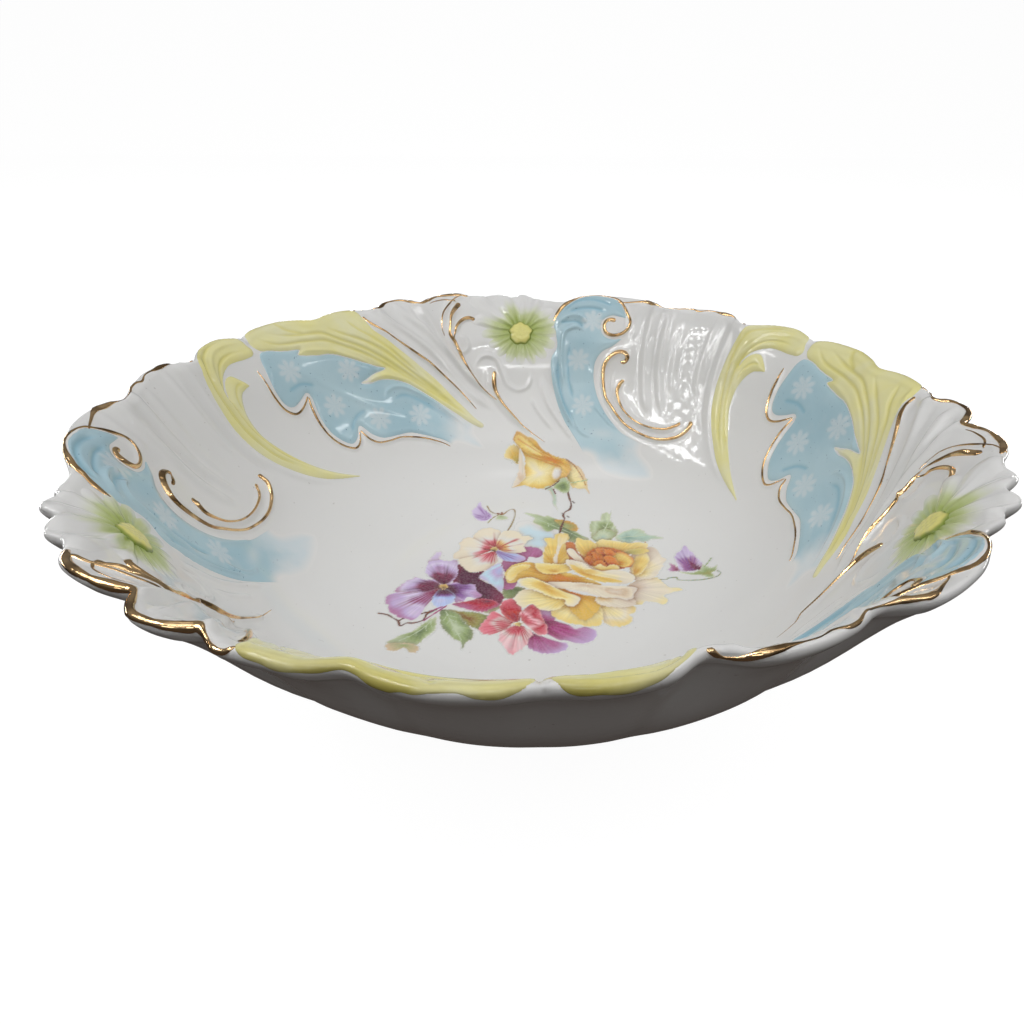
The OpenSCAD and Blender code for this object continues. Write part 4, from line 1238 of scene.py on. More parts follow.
def paint_leaves(p):
    leaf, floret = partial(p.petal, LEAVES), partial(p.petal, VIOLET)
    stem, veins = partial(p.line, LEAVES), partial(p.veins, LEAVES)
    green = "leafdeep leaf leafpale"
    leaf([(-5, 35), (-2, 39), (5, 36), (10, 32), (9, 24), (3, 19), (-1, 20), (-3, 25)], (3, 27),
         "sky sky white", streak=0.02, edge="white", rim=0.9, shade=0, soft=3.0, opaque=0.75)
    leaf([(-2.5, 46.5), (2, 46), (5.5, 44), (7, 45), (10, 42.5), (12.5, 40), (17, 35), (19, 31),
         (23, 26), (19, 24), (15, 25), (14, 30), (10, 33.5), (6.5, 32), (4, 36), (1, 39),
         (1.5, 43)], (16, 31), green, streak=0.2)
    leaf([(10, 41), (13, 41.5), (17, 39.5), (19, 36.5), (18.6, 33), (16, 33.5), (12, 37)],
         (13, 37), "leaf olive ochre", streak=0.15, edge="yellow")
    veins([(-1.5, 46), (4, 41), (10, 36), (16, 31), (21, 26)])
    leaf([(24, 31), (23.6, 36), (25, 40.5), (28, 41), (29, 45), (31, 47), (32.5, 46), (33.8, 48.5),
         (32.6, 42), (34, 37), (34.6, 32), (32, 28), (27, 25.5), (24, 27)], (30, 31),
         "leafdeep leaf leafpale leaf", streak=0.2)
    leaf([(24, 27), (26, 31), (29, 34.5), (32, 33.5), (34, 30.5), (31, 26), (27, 24)], (28, 28),
         "sea leafpale leaf", streak=0.12)
    veins([(27, 27), (29.5, 34), (31.5, 40), (33, 46)])
    leaf([(33, 28), (35.5, 31.5), (38, 33.5), (41.5, 34.5), (44.5, 33), (46, 29.5), (49, 28.5),
         (51.5, 26.5), (47, 26.5), (44, 25), (41, 26), (38, 23.5), (34.5, 25.5)], (38, 28),
         "seadeep sea leafpale", streak=0.14)
    stem([(34, 27.5), (39, 29), (45, 29.5)], 0.22, "leafpale")
    stem([(44.5, 25), (44, 20.5)], 0.25, "ochre")
    # lower left group
    leaf([(-31, -23), (-34, -26), (-37, -30), (-41, -33), (-44.5, -37), (-43, -38.5), (-40, -37.5),
         (-36, -38), (-33, -34), (-30.5, -30), (-30.4, -26)], (-35, -31), "leafdeep leaf leafpale",
         streak=0.22)
    leaf([(-44, -38), (-44, -41), (-41.5, -41.5), (-39, -39.5), (-37, -41.5), (-35, -41.5),
         (-34.6, -38.5), (-38, -37)], (-39, -38), "leaf tan", streak=0.15, edge="tan")
    veins([(-31.4, -24), (-35, -30), (-41, -36)])
    leaf([(-27, -19), (-23, -20), (-18, -20.5), (-15, -21.5), (-12.5, -24), (-14.5, -27),
         (-16.5, -29.5), (-19, -28), (-22, -25), (-26, -22)], (-20, -24), "brown olive leaf",
         streak=0.25, edge="leafpale", rim=0.3)
    leaf([(-29, -19), (-29.5, -24), (-28, -29), (-26, -32), (-24, -34.5), (-21.5, -36),
         (-21, -39.5), (-20, -36), (-18, -34), (-18.4, -30), (-21, -26), (-24, -21)], (-24, -28),
         "leafpale leaf leafdeep", streak=0.2)
    veins([(-28, -20), (-25, -27), (-21.5, -35)])
    leaf([(-9, -6), (-5, -5.5), (-1.5, -7), (-4, -10), (-6, -12.5), (-9, -12)], (-4, -7),
         "leafdeep leaf", streak=0.1)
    leaf([(-15.5, -16), (-11, -15.5), (-10, -18), (-13, -21), (-16, -20)], (-12, -17),
         "olive leafpale", streak=0.1)
    for points in ([(-50, -22), (-47, -22.5), (-45, -24), (-43, -25.5), (-42, -28),
                    (-40, -26.5), (-38, -26.5), (-35, -25), (-34, -21.5), (-32, -20)],
                   [(-43, -25.5), (-41, -23.6), (-39.5, -23)],
                   [(-36, -21.5), (-34, -20.6), (-31, -19)]):
        stem(points, 0.42, "dark", "brown")
    # the stalk of the bud, and the two small buds
    p.line(BUD, [(15.8, 62.5), (16.4, 58), (17, 54), (16.4, 50), (14.4, 48), (13.4, 45),
           (13.8, 42), (12.4, 36), (11.6, 31)], 0.5, "dark", "brown")
    for tip in ((13, 47), (12.6, 38.4), (15, 44.6), (17.6, 55.5)):
        p.line(BUD, [(tip[0] + 0.8, tip[1] - 1.2), tip], 0.3, "dark")
    stem([(-18, 51.5), (-16.6, 48), (-14, 45.6), (-11.5, 45), (-9.6, 48), (-8, 49.7), (-6.6, 49),
         (-6.4, 44), (-7.6, 37), (-9.4, 31)], 0.32, "brown", "olive")
    stem([(-13.4, 46), (-11.6, 45.6), (-11.8, 47)], 0.6, "brown")
    stem([(-13, 45), (-15.5, 42), (-17, 38.4)], 0.3, "olive")
    leaf([(-13, 44.5), (-10.5, 44), (-9, 42), (-11, 41), (-14, 41.6)], (-12, 44), "leaf leafpale",
         streak=0.1)
    floret([(-24.2, 47), (-22.8, 50.5), (-21, 54.4), (-20, 50.6), (-17, 46.6), (-15.6, 43.5),
           (-17, 40.8), (-20, 39.8), (-22.6, 42.5)], (-17, 42), "lilacpale lilac lilacpale",
           streak=0.12, rays=("violet", 9, 0.8), edge="lilacpale", rim=0.4)
    stem([(41, 0), (46, -0.2), (49, -0.2), (49.6, 0.7), (52.4, 1), (53.2, -0.7), (56, -1.4),
         (60, -1.9), (64, -2), (66.6, -1.5), (67.8, 0), (67, 1.6)], 0.34, "seadeep", "olive")
    floret([(51.2, 10.6), (52.6, 9.5), (54, 7.4), (54.4, 5), (52, 4.8), (50.4, 5.8), (51.4, 7.8)],
           (53.6, 5.6), "wine mauve lilac", streak=0.1)
    floret([(53.9, 13), (55, 15.6), (57, 17.6), (58.6, 20), (59.8, 17.6), (60.6, 15), (61.6, 12),
           (62.8, 8.4), (62.6, 6), (60, 4), (57, 4.4), (54.6, 5), (54.2, 9)], (58.6, 4.6),
           "wine mauve lilacpale lilac", streak=0.2, rays=("violet", 9, 0.8), edge="lilacpale",
           rim=0.4)
    floret([(58.6, 11), (59.6, 9), (61.4, 6), (63, 5), (61, 4), (59.4, 6)], (61, 5), "plum wine",
           streak=0.1, edge="wine")
    leaf([(54.4, 4.2), (58, 3), (61, 3.8), (63, 6.6), (64.2, 5.4), (65.6, 4), (67.4, 4.6),
         (66.6, 2), (65, 1), (65.6, -1.4), (63.4, -1.6), (61.6, 0.6), (58, 1.8)], (64, 1),
         "olive leaf leafpale", streak=0.15)
    stem([(63.4, 5.6), (65, 7.6), (66.4, 9.6)], 0.3, "leaf")


def paint_cream_pansy(p):
    petal = partial(p.petal, CREAM)
    heart = (-13.4, 18.8)
    petal([(-3, 20.5), (1, 20.6), (4, 19), (5, 15.6), (3, 13), (0, 13.6), (-1.4, 10.8), (-4, 8.6),
          (-7, 6), (-9, 1), (-10, -6), (-6, -7), (-4.4, -2), (-8, 2), (-10.6, 8), (-9, 13),
          (-5, 17)], (-2, 6), "magenta mauve mauve", streak=0.2, rays=("wine", 5, 0.6),
          edge="lilacpale", rim=0.25)
    tones = "crimson rosepink white cream cream"
    petal([(-21.6, 24), (-21.8, 29), (-19.6, 33), (-16, 34.4), (-12.6, 32.6), (-11.4, 28),
          (-12, 23), (-13, 20)], heart, tones, streak=0.05, rays=("crimson", 9, 0.62), edge="tan",
          rim=0.5)
    petal([(-13, 20), (-12.6, 27), (-10.6, 31.6), (-7.4, 32.6), (-4.4, 31.4), (-3.2, 28.8),
          (-0.4, 28.4), (1, 26.6), (-1.4, 24.4), (-2.4, 21), (-1.8, 17.6), (-5.6, 16), (-10, 17)],
          heart, "crimson yellow white cream cream", streak=0.05, rays=("crimson", 10, 0.6),
          edge="cream", rim=0.5)
    petal([(-27, 23), (-25, 26.4), (-22, 26.6), (-18, 23), (-13.4, 19.4), (-19, 14.6), (-24, 12.4),
          (-28, 12), (-28.6, 15), (-26.6, 18.6)], heart, tones, streak=0.05,
          rays=("crimson", 11, 0.55), edge="tan", rim=0.55)
    petal([(-13.2, 17.6), (-19, 14.4), (-26, 12), (-25.4, 8), (-23, 4.4), (-20.4, 3), (-17, 4),
          (-14.4, 6), (-12.6, 9.4), (-12.4, 13)], heart, tones, streak=0.05,
          rays=("crimson", 12, 0.6), edge="tan", rim=0.5)
    petal([(-18, 0), (-16, 4), (-13.4, 7.6), (-11, 9), (-9.8, 5), (-9.4, 0), (-9, -5), (-10, -8.6),
          (-12.2, -6), (-15, -2.6)], (-10, 6), "blue lilac sky lilac", streak=0.12, edge="white",
          rim=0.5)
    petal([(-13, 18.2), (-9, 16.6), (-4.6, 15.6), (-1.6, 13), (-3.6, 10.4), (-8, 10.2),
          (-11.4, 13)], (-12.6, 17), "violet blue lilac", streak=0.12, rays=("violet", 9, 0.8),
          edge="white", rim=0.5)
    petal([(-15, 19.4), (-13.4, 20.4), (-12.2, 19), (-13, 17.2), (-14.6, 17.6)], (-13.4, 17.6),
          "dark yellow", streak=0.1)
    p.line(CREAM, [(-18, 18.8), (-15.4, 18.4), (-13.2, 17.4)], 0.3, "dark")


def paint_violet_pansy(p):
    petal = partial(p.petal, VIOLET)
    heart = (-30.4, -6)
    petal([(-26.6, 8), (-23, 5.4), (-20, 3), (-17, 4), (-16, 1), (-18, -1), (-14, -4), (-10, -9),
          (-9, -12.4), (-10, -16), (-14, -15), (-19, -12), (-22, -7), (-27, -4)], (-20, -2),
          "plum plum wine", streak=0.25, edge="wine", rim=0.3, shade=0.2)
    petal([(-26, -16), (-22, -14.6), (-18, -13), (-13, -13.4), (-10, -16), (-12, -18),
          (-15.6, -20.2), (-19, -19.4), (-23, -18)], (-14, -14), "plum crimson mauve", streak=0.2,
          edge="pinkpale", rim=0.3)
    petal([(-37.6, 9), (-36.4, 13), (-34.6, 16.8), (-33, 15.6), (-33.4, 12), (-32, 9)], (-33, 8),
          "lilac lilacpale", streak=0.12)
    petal([(-38, 6), (-36.8, 10), (-33.6, 11), (-30, 10.4), (-27.4, 10.8), (-26.2, 6), (-26.4, 0),
          (-28.6, -4.4), (-31, -5), (-34.4, -1.6), (-37, 2)], (-30, -4),
          "plum wine wine lilac lilacpale lilac", streak=0.3, rays=("plum", 12, 0.65),
          edge="lilacpale", rim=0.4, frill=0.4)
    petal([(-30.8, -6), (-33.6, -2), (-37.6, -1.6), (-41, -0.6), (-44, -3.4), (-46, -6), (-47, -9),
          (-43, -10), (-37, -10), (-33, -8.6)], heart, "yellow wine wine lilac lilacpale mauve",
          streak=0.3, rays=("plum", 13, 0.7), edge="lilacpale", rim=0.45, frill=0.45)
    petal([(-31, -7), (-37, -9.4), (-45.6, -9.4), (-49.4, -13), (-48.4, -16), (-46.6, -20),
          (-43.6, -23), (-38.6, -24.6), (-36.4, -22), (-35.2, -17.4), (-32.8, -12)], heart,
          "orange wine mauve lilac lilacpale lilac mauve", streak=0.3, rays=("wine", 17, 0.85),
          edge="lilacpale", rim=0.4, frill=0.5)
    petal([(-30, -6), (-26.6, -3.4), (-23.6, -4.4), (-20, -4), (-18.4, -6), (-18.4, -8.6),
          (-16.4, -11), (-18.4, -12.6), (-21, -12), (-24, -15), (-27, -13), (-28.8, -9)], heart,
          "plum plum violet lilac mauve", streak=0.3, rays=("plum", 13, 0.7), edge="lilacpale",
          rim=0.5, frill=0.45)
    petal([(-30.8, -7), (-33.2, -12), (-32.6, -16), (-30.2, -19), (-28, -17), (-25.6, -14),
          (-26.6, -9.4)], heart, "plum plum violet blue lilacpale", streak=0.25,
          rays=("plum", 11, 0.7), edge="sky", rim=0.5)
    petal([(-31.6, -5), (-29.6, -4.6), (-28.8, -6.2), (-30.4, -7.6)], (-30, -7), "dark gold",
          streak=0.1)
    for points in ([(-28, -17), (-31, -20.6), (-34.6, -25)], [(-29.4, -17.6), (-33, -20)]):
        p.line(VIOLET, points, 0.4, "magenta", "wine")


def paint_pink_pansy(p):
    petal = partial(p.petal, PINK)
    heart = (-3.4, -26.4)
    petal([(2, -27), (3, -20), (6, -18.4), (9, -20.6), (8.4, -24), (12, -26), (15, -28.4),
          (18, -27.8), (21, -29), (22, -31.4), (20.4, -34), (17, -36), (13, -35), (9, -34),
          (4, -30)], (2, -25), "plum magenta mauve lilac", streak=0.22, rays=("wine", 11, 0.6),
          edge="lilacpale", rim=0.35)
    petal([(-1, -30), (3, -32), (8, -34.6), (12, -36), (11.8, -38.6), (9, -40.6), (5, -41),
          (1, -39.6), (-1, -36)], (1, -30), "plum magenta mauve lilac", streak=0.22,
          rays=("wine", 11, 0.6), edge="lilacpale", rim=0.4)
    petal([(-5, -25), (-8.4, -22.4), (-11.4, -19.6), (-13.4, -21), (-14, -24), (-16, -27),
          (-15.4, -31), (-12.4, -32), (-9, -30.6)], heart,
          "crimson rosepink white rosepink rosepink", streak=0.25, rays=("crimson", 13, 0.95),
          edge="white", rim=0.45, frill=0.45)
    petal([(-4, -27), (-8.6, -30), (-9.6, -34), (-7.8, -38), (-5.4, -41.8), (-4, -41), (-1.6, -38),
          (0.2, -34), (0.6, -30)], heart, "crimson rosepink white pinkpale rosepink", streak=0.28,
          rays=("crimson", 15, 0.9), edge="white", rim=0.5, frill=0.45)
    petal([(-9.2, -21), (-10, -17), (-8.2, -13.6), (-6, -12.8), (-3.8, -15.4), (-2.8, -20),
          (-3.6, -25), (-6, -25)], heart, "scarlet scarlet crimson rosepink", streak=0.25,
          rays=("wine", 9, 0.5), edge="pinkpale", rim=0.5)
    petal([(-1.2, -17.4), (1, -15.8), (3.2, -18), (4.2, -22), (5.6, -27), (5.6, -31), (3.4, -32),
          (0.6, -29), (-2.4, -25), (-3.2, -21)], (-3, -24),
          "scarlet rosepink pinkpale crimson rosepink", streak=0.25, rays=("crimson", 11, 0.6),
          edge="white", rim=0.55)
    petal([(-5, -26.4), (-3.4, -25.4), (-2.2, -26.6), (-3.6, -27.6)], (-2.6, -26.4), "dark yellow",
          streak=0.1)


def paint_rose(p):
    petal = partial(p.petal, ROSE)
    petal([(38, -1), (45, 1), (48, -3), (49.4, -5), (52.6, -5.6), (53.2, -6.8), (49.6, -7.8),
          (46.6, -9.6), (47.2, -12.4), (45.6, -15), (43, -14), (40, -13.4), (37, -15.4), (33, -14),
          (32, -8)], (34, -6), "tan greycream cream pale", edge="pale")
    petal([(23, -14), (24, -20), (24.4, -25), (27, -27), (30, -27.4), (33.4, -25), (34.2, -22.6),
          (33.2, -21), (35.6, -19), (35.2, -16), (31, -14.6)], (24, -14), "gold pale cream yellow",
          streak=0.2)
    petal([(8, -18), (7.8, -22), (11, -25), (15, -26.2), (19, -27.4), (23, -27), (24.4, -23),
          (24.4, -17), (22, -12), (14, -13)], (18, -12), "orange gold pale yellow", streak=0.22)
    petal([(-5.2, -13), (-4, -9), (-0.6, -7), (6, -7.4), (11, -10), (13, -14), (9.4, -18.4),
          (4.6, -19), (0.8, -15.8), (-2.4, -17.8)], (13, -11), "ochre yellow pale cream",
          streak=0.2)
    petal([(9, -5), (16, -9), (23, -11), (24.4, -15), (21, -22), (17.4, -24), (14, -19),
          (13, -13)], (15, -8), "orange ochre gold gold", edge="yellow", rim=0.15)
    petal([(22.6, -12), (24, -15.6), (30, -17), (35.4, -16), (36, -12), (31, -10), (26, -10)],
          (24, -11), "gold cream greycream")
    petal([(36.6, 0), (42, 0), (45.4, 2), (47.4, 6), (49.4, 10), (50.6, 13), (49, 14.4),
          (48.6, 18), (47, 21.4), (43, 20), (39, 17), (37, 12)], (38, 3),
          "gold pale cream greycream", edge="cream", rim=0.6)
    petal([(37, 2), (40, 3), (43, 8), (44.6, 14), (43.6, 18.4), (40.6, 16), (38, 11)], (38, 4),
          "ochre yellow pale", edge="white", rim=0.55)
    petal([(25, 24), (28, 27), (31.4, 26), (34, 25.4), (38, 24.2), (42, 25), (45.4, 23.6),
          (44, 19.6), (40.6, 17), (37, 16), (33, 14), (28, 15), (24, 19)], (31, 14),
          "ochre gold yellow pale", streak=0.2)
    petal([(35, 18), (39, 20), (43, 20.6), (45, 18.6), (40, 16)], (36, 17), "olive yellow",
          rim=0.3)
    petal([(13.6, 24), (17, 23.6), (18, 17), (21, 14), (21, 8), (15, 10), (12.6, 17)], (18, 12),
          "red orange orange", edge="tan", rim=0.3)
    petal([(17.6, 24.6), (18.4, 27.4), (20.6, 26.4), (23.6, 25.4), (25.4, 21.6), (25, 16),
          (22.6, 12.6), (19.4, 15), (17.4, 20)], (22.6, 13), "orange gold yellow yellow",
          streak=0.2)
    petal([(5.4, 26.6), (8.4, 27.6), (9.4, 26.4), (10, 29.8), (12.4, 31.2), (14.8, 30.6),
          (15.2, 27.4), (13.6, 23), (14, 17), (14.4, 11), (10, 7.6), (6, 8), (4.8, 13), (5.4, 19),
          (6.6, 23)], (9, 8), "ochre gold yellow yellow", streak=0.22)
    petal([(11.6, 30), (14.4, 29.4), (14, 25.4), (12, 21), (10.4, 15), (9.8, 9.4), (8.6, 11),
          (9.6, 17), (10.6, 22), (10.8, 26)], (10, 10), "greycream cream yellow", edge="white",
          shade=0.15)
    # the heart
    petal([(20, 11), (21.6, 16.6), (24.6, 20), (29, 21), (33, 19.4), (36.4, 16.4), (38, 12),
          (37, 8), (33, 6.4), (28, 4.6), (23, 4.6), (20, 7.6)], (28, 10), "red red orange",
          streak=0.2, edge="orange")
    petal([(31, 15), (33.6, 18), (37, 16), (38.6, 12.4), (37.2, 8.8), (34, 7.4), (32, 10)],
          (33, 10), "orange gold yellow orange", edge="orange", rim=0.3)
    for outline in ([(20.4, 13), (22.6, 15), (24, 12), (24.2, 8.6), (22, 8), (20.2, 10)],
                    [(23.4, 17), (26, 17.6), (27.4, 14), (27.2, 11), (25, 10.6), (23.6, 13)],
                    [(25, 19.6), (28, 20.4), (29.4, 18), (27.6, 16), (25.4, 17)],
                    [(28.4, 19.4), (31, 19), (32, 16), (29.8, 14.4), (28.2, 16.6)],
                    [(27.6, 14.4), (30.2, 15), (32.4, 12), (32.4, 8.4), (30, 8), (28, 11)],
                    [(24.2, 11), (27, 11.4), (28.2, 8), (27.4, 5.6), (25, 5.4), (23.4, 8)]):
        low = min(outline, key=lambda q: q[1])
        petal(outline, low, "red orange orange", edge="yellow", rim=0.35, shade=0.5)
    petal([(21, 9), (23.4, 7.6), (26, 9.4), (28, 7.6), (30.4, 9.2), (33, 7.6), (31.6, 5), (27, 4),
          (23, 4.4)], (27, 4), "orange yellow pale", edge="cream", shade=0.4)
    petal([(14.6, 20), (16.8, 19), (18.8, 14.4), (21.4, 9), (25.8, 3), (24.2, 1.6), (20, 6),
          (16.8, 11.4), (14.4, 16)], (20, 8), "tan cream cream", edge="white", rim=0.7, shade=0.5)
    # the folds in front
    petal([(-8.8, 2.4), (-7.4, 7), (-4, 9.6), (-0.6, 10), (2.6, 9), (6, 5), (12, 4), (17, 2),
          (22, -1), (25, -4), (18, -5.6), (9, -4), (3, -2), (-2.6, -0.6), (-5.4, -2.8),
          (-8, -2.6)], (13, 0), "orange ochre gold yellow", streak=0.2, edge="pale")
    petal([(-8.4, 2), (-6.6, 6.4), (-3, 8.6), (0, 8.2), (-1, 5.6), (-4, 3.4), (-5.4, -1),
          (-7.6, -1.8)], (-2, 5), "gold yellow pale", shade=0.2)
    petal([(1.8, 9), (5, 9.6), (10, 9.2), (14.2, 9), (15.6, 6), (13.4, 4), (9.4, 2.6), (6, 2.4),
          (3, 4.6)], (9, 4), "ochre yellow yellow pale", rim=0.6, shade=0.5)
    petal([(13.4, 12), (16, 11.8), (20, 10), (22.4, 6.4), (26, 5), (31, 5.6), (35, 4.8), (37.6, 2),
          (37.2, -0.6), (35, -2.6), (32, -3.2), (27, -1.4), (23, 0), (19, 2), (15.8, 5),
          (13.8, 8.4)], (19, 5), "gold pale cream cream", edge="white", rim=0.7, shade=0.6)
    petal([(14.6, 9), (17, 7.6), (20, 4.4), (24.4, 1.6), (29, 0.4), (33, -1.6), (27, -2.4),
          (21, 0), (16.6, 4)], (20, 3), "ochre gold yellow", edge="pale", shade=0.1)
    petal([(6.6, -2.8), (12, -2.4), (20, -3), (26, -4.2), (33, -4.4), (37.4, -5.4), (36.4, -9),
          (34.6, -12.6), (30, -11.4), (25, -11.4), (20, -8.8), (14, -7.2), (9, -5.6)], (20, -4),
          "tan cream cream greycream", edge="white", rim=0.6, shade=0.6)
    petal([(26, -5), (31, -6), (35.6, -6), (35, -11), (30, -10.4), (26.6, -8.6)], (30, -8),
          "greycream tan cream", edge="cream", shade=0.1)
    petal([(-3.6, -0.8), (0.4, 0.2), (4, -1.6), (8, -5), (12, -8.4), (16, -10.4), (17.4, -12.6),
          (14.8, -16.8), (12.2, -15.2), (12, -12.8), (8, -12), (4, -9), (-1, -6.4), (-3.6, -3.8)],
          (5, -4), "ochre yellow pale cream", edge="white", rim=0.6, shade=0.6)
    petal([(1, -2.6), (4, -3.4), (7.4, -6.6), (11, -9.6), (13.4, -12), (9.6, -11.2), (5.4, -8.4),
          (1.4, -5.4)], (7, -7), "ochre gold yellow", edge="yellow", shade=0.0, opaque=0.7)


def paint_bud(p):
    petal = partial(p.petal, BUD)
    petal([(14, 79.4), (17, 78), (21, 75), (23, 72), (24, 68), (24.6, 63), (25, 60), (23.4, 63),
          (21, 63.4), (18, 64.6), (16, 69), (14.6, 74)], (16, 70), "olive pale pale tan",
          edge="ochre", rim=0.5)
    p.line(BUD, [(15.4, 79.4), (18.6, 76.6), (20.8, 73), (22.6, 69), (23.6, 65.4)], 0.3, "ochre",
           "brown")
    petal([(-12, 80.4), (-10.6, 84), (-8, 85.6), (-5.6, 85), (-5, 81), (-6, 77.4), (-8, 79)],
          (-6, 78), "olive gold pale", edge="pale")
    petal([(-4.4, 85), (-2.6, 80), (-3, 75), (-2.6, 71), (-5, 68), (-8, 64.6), (-6.4, 64.8),
          (-3, 66.4), (0, 65.2), (3, 64.2), (6, 64.4), (9, 66), (12, 69), (14, 72.4), (14, 77),
          (10, 79.6), (4, 81), (-1, 83)], (4, 73), "cream pale yellow gold", streak=0.12,
          edge="ochre", rim=0.4)
    petal([(-5, 84), (-5.6, 79), (-5.6, 74), (-7, 68.4), (-8, 65), (-4.6, 67.6), (-2.6, 71.6),
          (-3.4, 78), (-4, 82.6)], (-4, 68), "tan greycream cream", edge="cream", shade=0.3)
    petal([(8.8, 73), (10.8, 76.2), (13, 75.8), (13.8, 72.4), (11.4, 69), (9.4, 70)], (11, 72),
          "white white yellow", edge="ochre", rim=0.3, shade=0.2)
    petal([(-8.2, 88), (-6, 90.6), (-2, 89.2), (2, 87.6), (5, 84.2), (10, 81.4), (15, 79.2),
          (17.4, 76), (17, 72.6), (15, 70), (12, 67.4), (13.2, 72), (13.4, 75.6), (10, 77.6),
          (4, 80), (-1, 82), (-5, 84.6)], (10, 79), "orange ochre gold ochre", streak=0.25,
          edge="pale", rim=0.3, shade=0.5)
    petal([(-7.4, 87.6), (-5.4, 89.6), (-1, 87.2), (4, 83.4), (9, 80.8), (4, 81.6), (-2, 83.6),
          (-5.4, 85.6)], (-1, 85), "pale yellow gold", shade=0.1, edge="pale")
    petal([(5.6, 64.4), (8, 62.8), (9.4, 59), (9.2, 55), (10.6, 51), (11.4, 49), (10.6, 54),
          (10.8, 59), (10.2, 63.4), (8, 66)], (8, 63), "tan sea leafpale", streak=0.1, shade=0.1)
    petal([(9.8, 65), (11, 68), (14, 70.4), (16, 69), (17, 66.4), (16.4, 62.4), (14.4, 61.2),
          (12, 63)], (14, 66), "leafdeep leaf leafpale", edge="olive")
    p.line(BUD, [(16, 67), (19.6, 67.4), (24.6, 68)], 0.3, "leaf", "leafpale")
    p.line(BUD, [(6.4, 64), (10, 66.4), (12.4, 69)], 0.35, "brown", "dark")
    p.line(BUD, [(9.8, 63.6), (10.6, 61)], 0.4, "dark", "wine")
    for points in ([(-6, 88), (0, 85), (6, 81.6), (12, 79), (15.6, 76)],
                   [(-2, 81.6), (4, 79.6), (10, 77), (12.6, 76)]):
        p.line(BUD, points, 0.22, "orange", "ochre")


def print_glaze(name):
    m = Shader(name)
    paint = m.add("ShaderNodeAttribute", attribute_name="paint").outputs["Color"]
    grain = m.range(m.noise(1500, 2), 0.3, 0.7, 0, 0.10)
    return m.glazed(m.mix(grain, paint, WHITE), (0.05, 0.11))


def make_prints():
    """Each flower is a thin glazed transfer, cut from one painted plan."""
    p = Painting((-51.5, -43), (71, 92))
    paint_leaves(p)
    paint_violet_pansy(p)
    paint_cream_pansy(p)
    paint_pink_pansy(p)
    paint_rose(p)
    paint_bud(p)
    a = PLAN_TURN * DEG
    x = p.x * math.cos(a) - p.y * math.sin(a)
    y = p.x * math.sin(a) + p.y * math.cos(a)
    q = np.hypot(x, y)
    c = 90 - np.arctan2(y, x) / DEG
    own = p.owner
    # a cell belongs to the highest owner of its corners, if the cell holds any print
    corners = np.stack([own[:-1, :-1], own[:-1, 1:], own[1:, 1:], own[1:, :-1]])
    cell = corners.max(0)
    top = lifted(c, q, np.full(q.shape, 0.10))
    under = lifted(c, q, np.full(q.shape, -0.08))
    index = np.arange(own.size).reshape(own.shape)
    for k, (node, slot) in enumerate(PRINTS):
        i, j = np.where(cell == k)
        quads = np.stack([index[i, j], index[i, j + 1], index[i + 1, j + 1], index[i + 1, j]],
                         -1)
        used, quads = np.unique(quads, return_inverse=True)
        quads = quads.reshape(-1, 4)
        n = len(used)
        faces = [tuple(f) for f in quads.tolist()]
        edges = {(u, v): 1 for f in faces for u, v in zip(f, f[1:] + f[:1])}
        sides = [(v, u, u + n, v + n) for u, v in edges if (v, u) not in edges]
        faces += [tuple(v + n for v in f[::-1]) for f in faces] + sides
        points = np.vstack([top.reshape(-1, 3)[used], under.reshape(-1, 3)[used]])
        paint = p.rgb.reshape(-1, 3)[used]
        mesh_object(node, points, faces, print_glaze(slot),
                    colours=np.clip(np.vstack([paint, paint]), 0, 1))


# ---------------------------------------------------------------- stage, light and camera
def make_stage():
    """A pale floor that curves up into the backdrop."""
    profile = smooth([(-3, 0), (1.2, 0), (1.9, 0.06), (2.4, 0.4), (2.6, 1.2), (2.6, 3)], 10)
    xs = np.linspace(-4, 4, 9)
    points = [(x, y, z) for y, z in profile for x in xs]
    n = len(xs)
    faces = [(i * n + j, i * n + j + 1, (i + 1) * n + j + 1, (i + 1) * n + j)
             for i in range(len(profile) - 1) for j in range(n - 1)]
    mesh = bpy.data.meshes.new("floor")
    mesh.from_pydata(points, [], faces)
    mesh.polygons.foreach_set("use_smooth", [True] * len(mesh.polygons))
    m = Shader("floor", 0.9)
    m.colour(m.mix(m.noise(3), (0.13, 0.13, 0.13), (0.14, 0.14, 0.14)))
    m.bsdf.inputs["Specular IOR Level"].default_value = 0.0
    m.bsdf.inputs["Emission Color"].default_value = (1, 1, 1, 1)
    m.bsdf.inputs["Emission Strength"].default_value = 0.95
    mesh.materials.append(m.material)
    floor = bpy.data.objects.new("floor", mesh)
    bpy.context.scene.collection.objects.link(floor)
    floor.visible_diffuse = False
    floor.visible_glossy = False


def facing(place, height):
    """The turn that points a lamp from its place to the bowl's axis at this height."""
    return (Vector((0, 0, height)) - Vector(place)).to_track_quat("-Z", "Y")


def softbox(name, place, height, size, power, shows):
    light = bpy.data.lights.new(name, "AREA")
    light.shape = "RECTANGLE"
    light.size, light.size_y = size
    light.energy = power
    lamp = bpy.data.objects.new(name, light)
    lamp.location = place
    lamp.rotation_euler = facing(place, height).to_euler()
    lamp.visible_glossy, lamp.visible_diffuse = shows != LIGHT, shows != GLOSS
    bpy.context.scene.collection.objects.link(lamp)


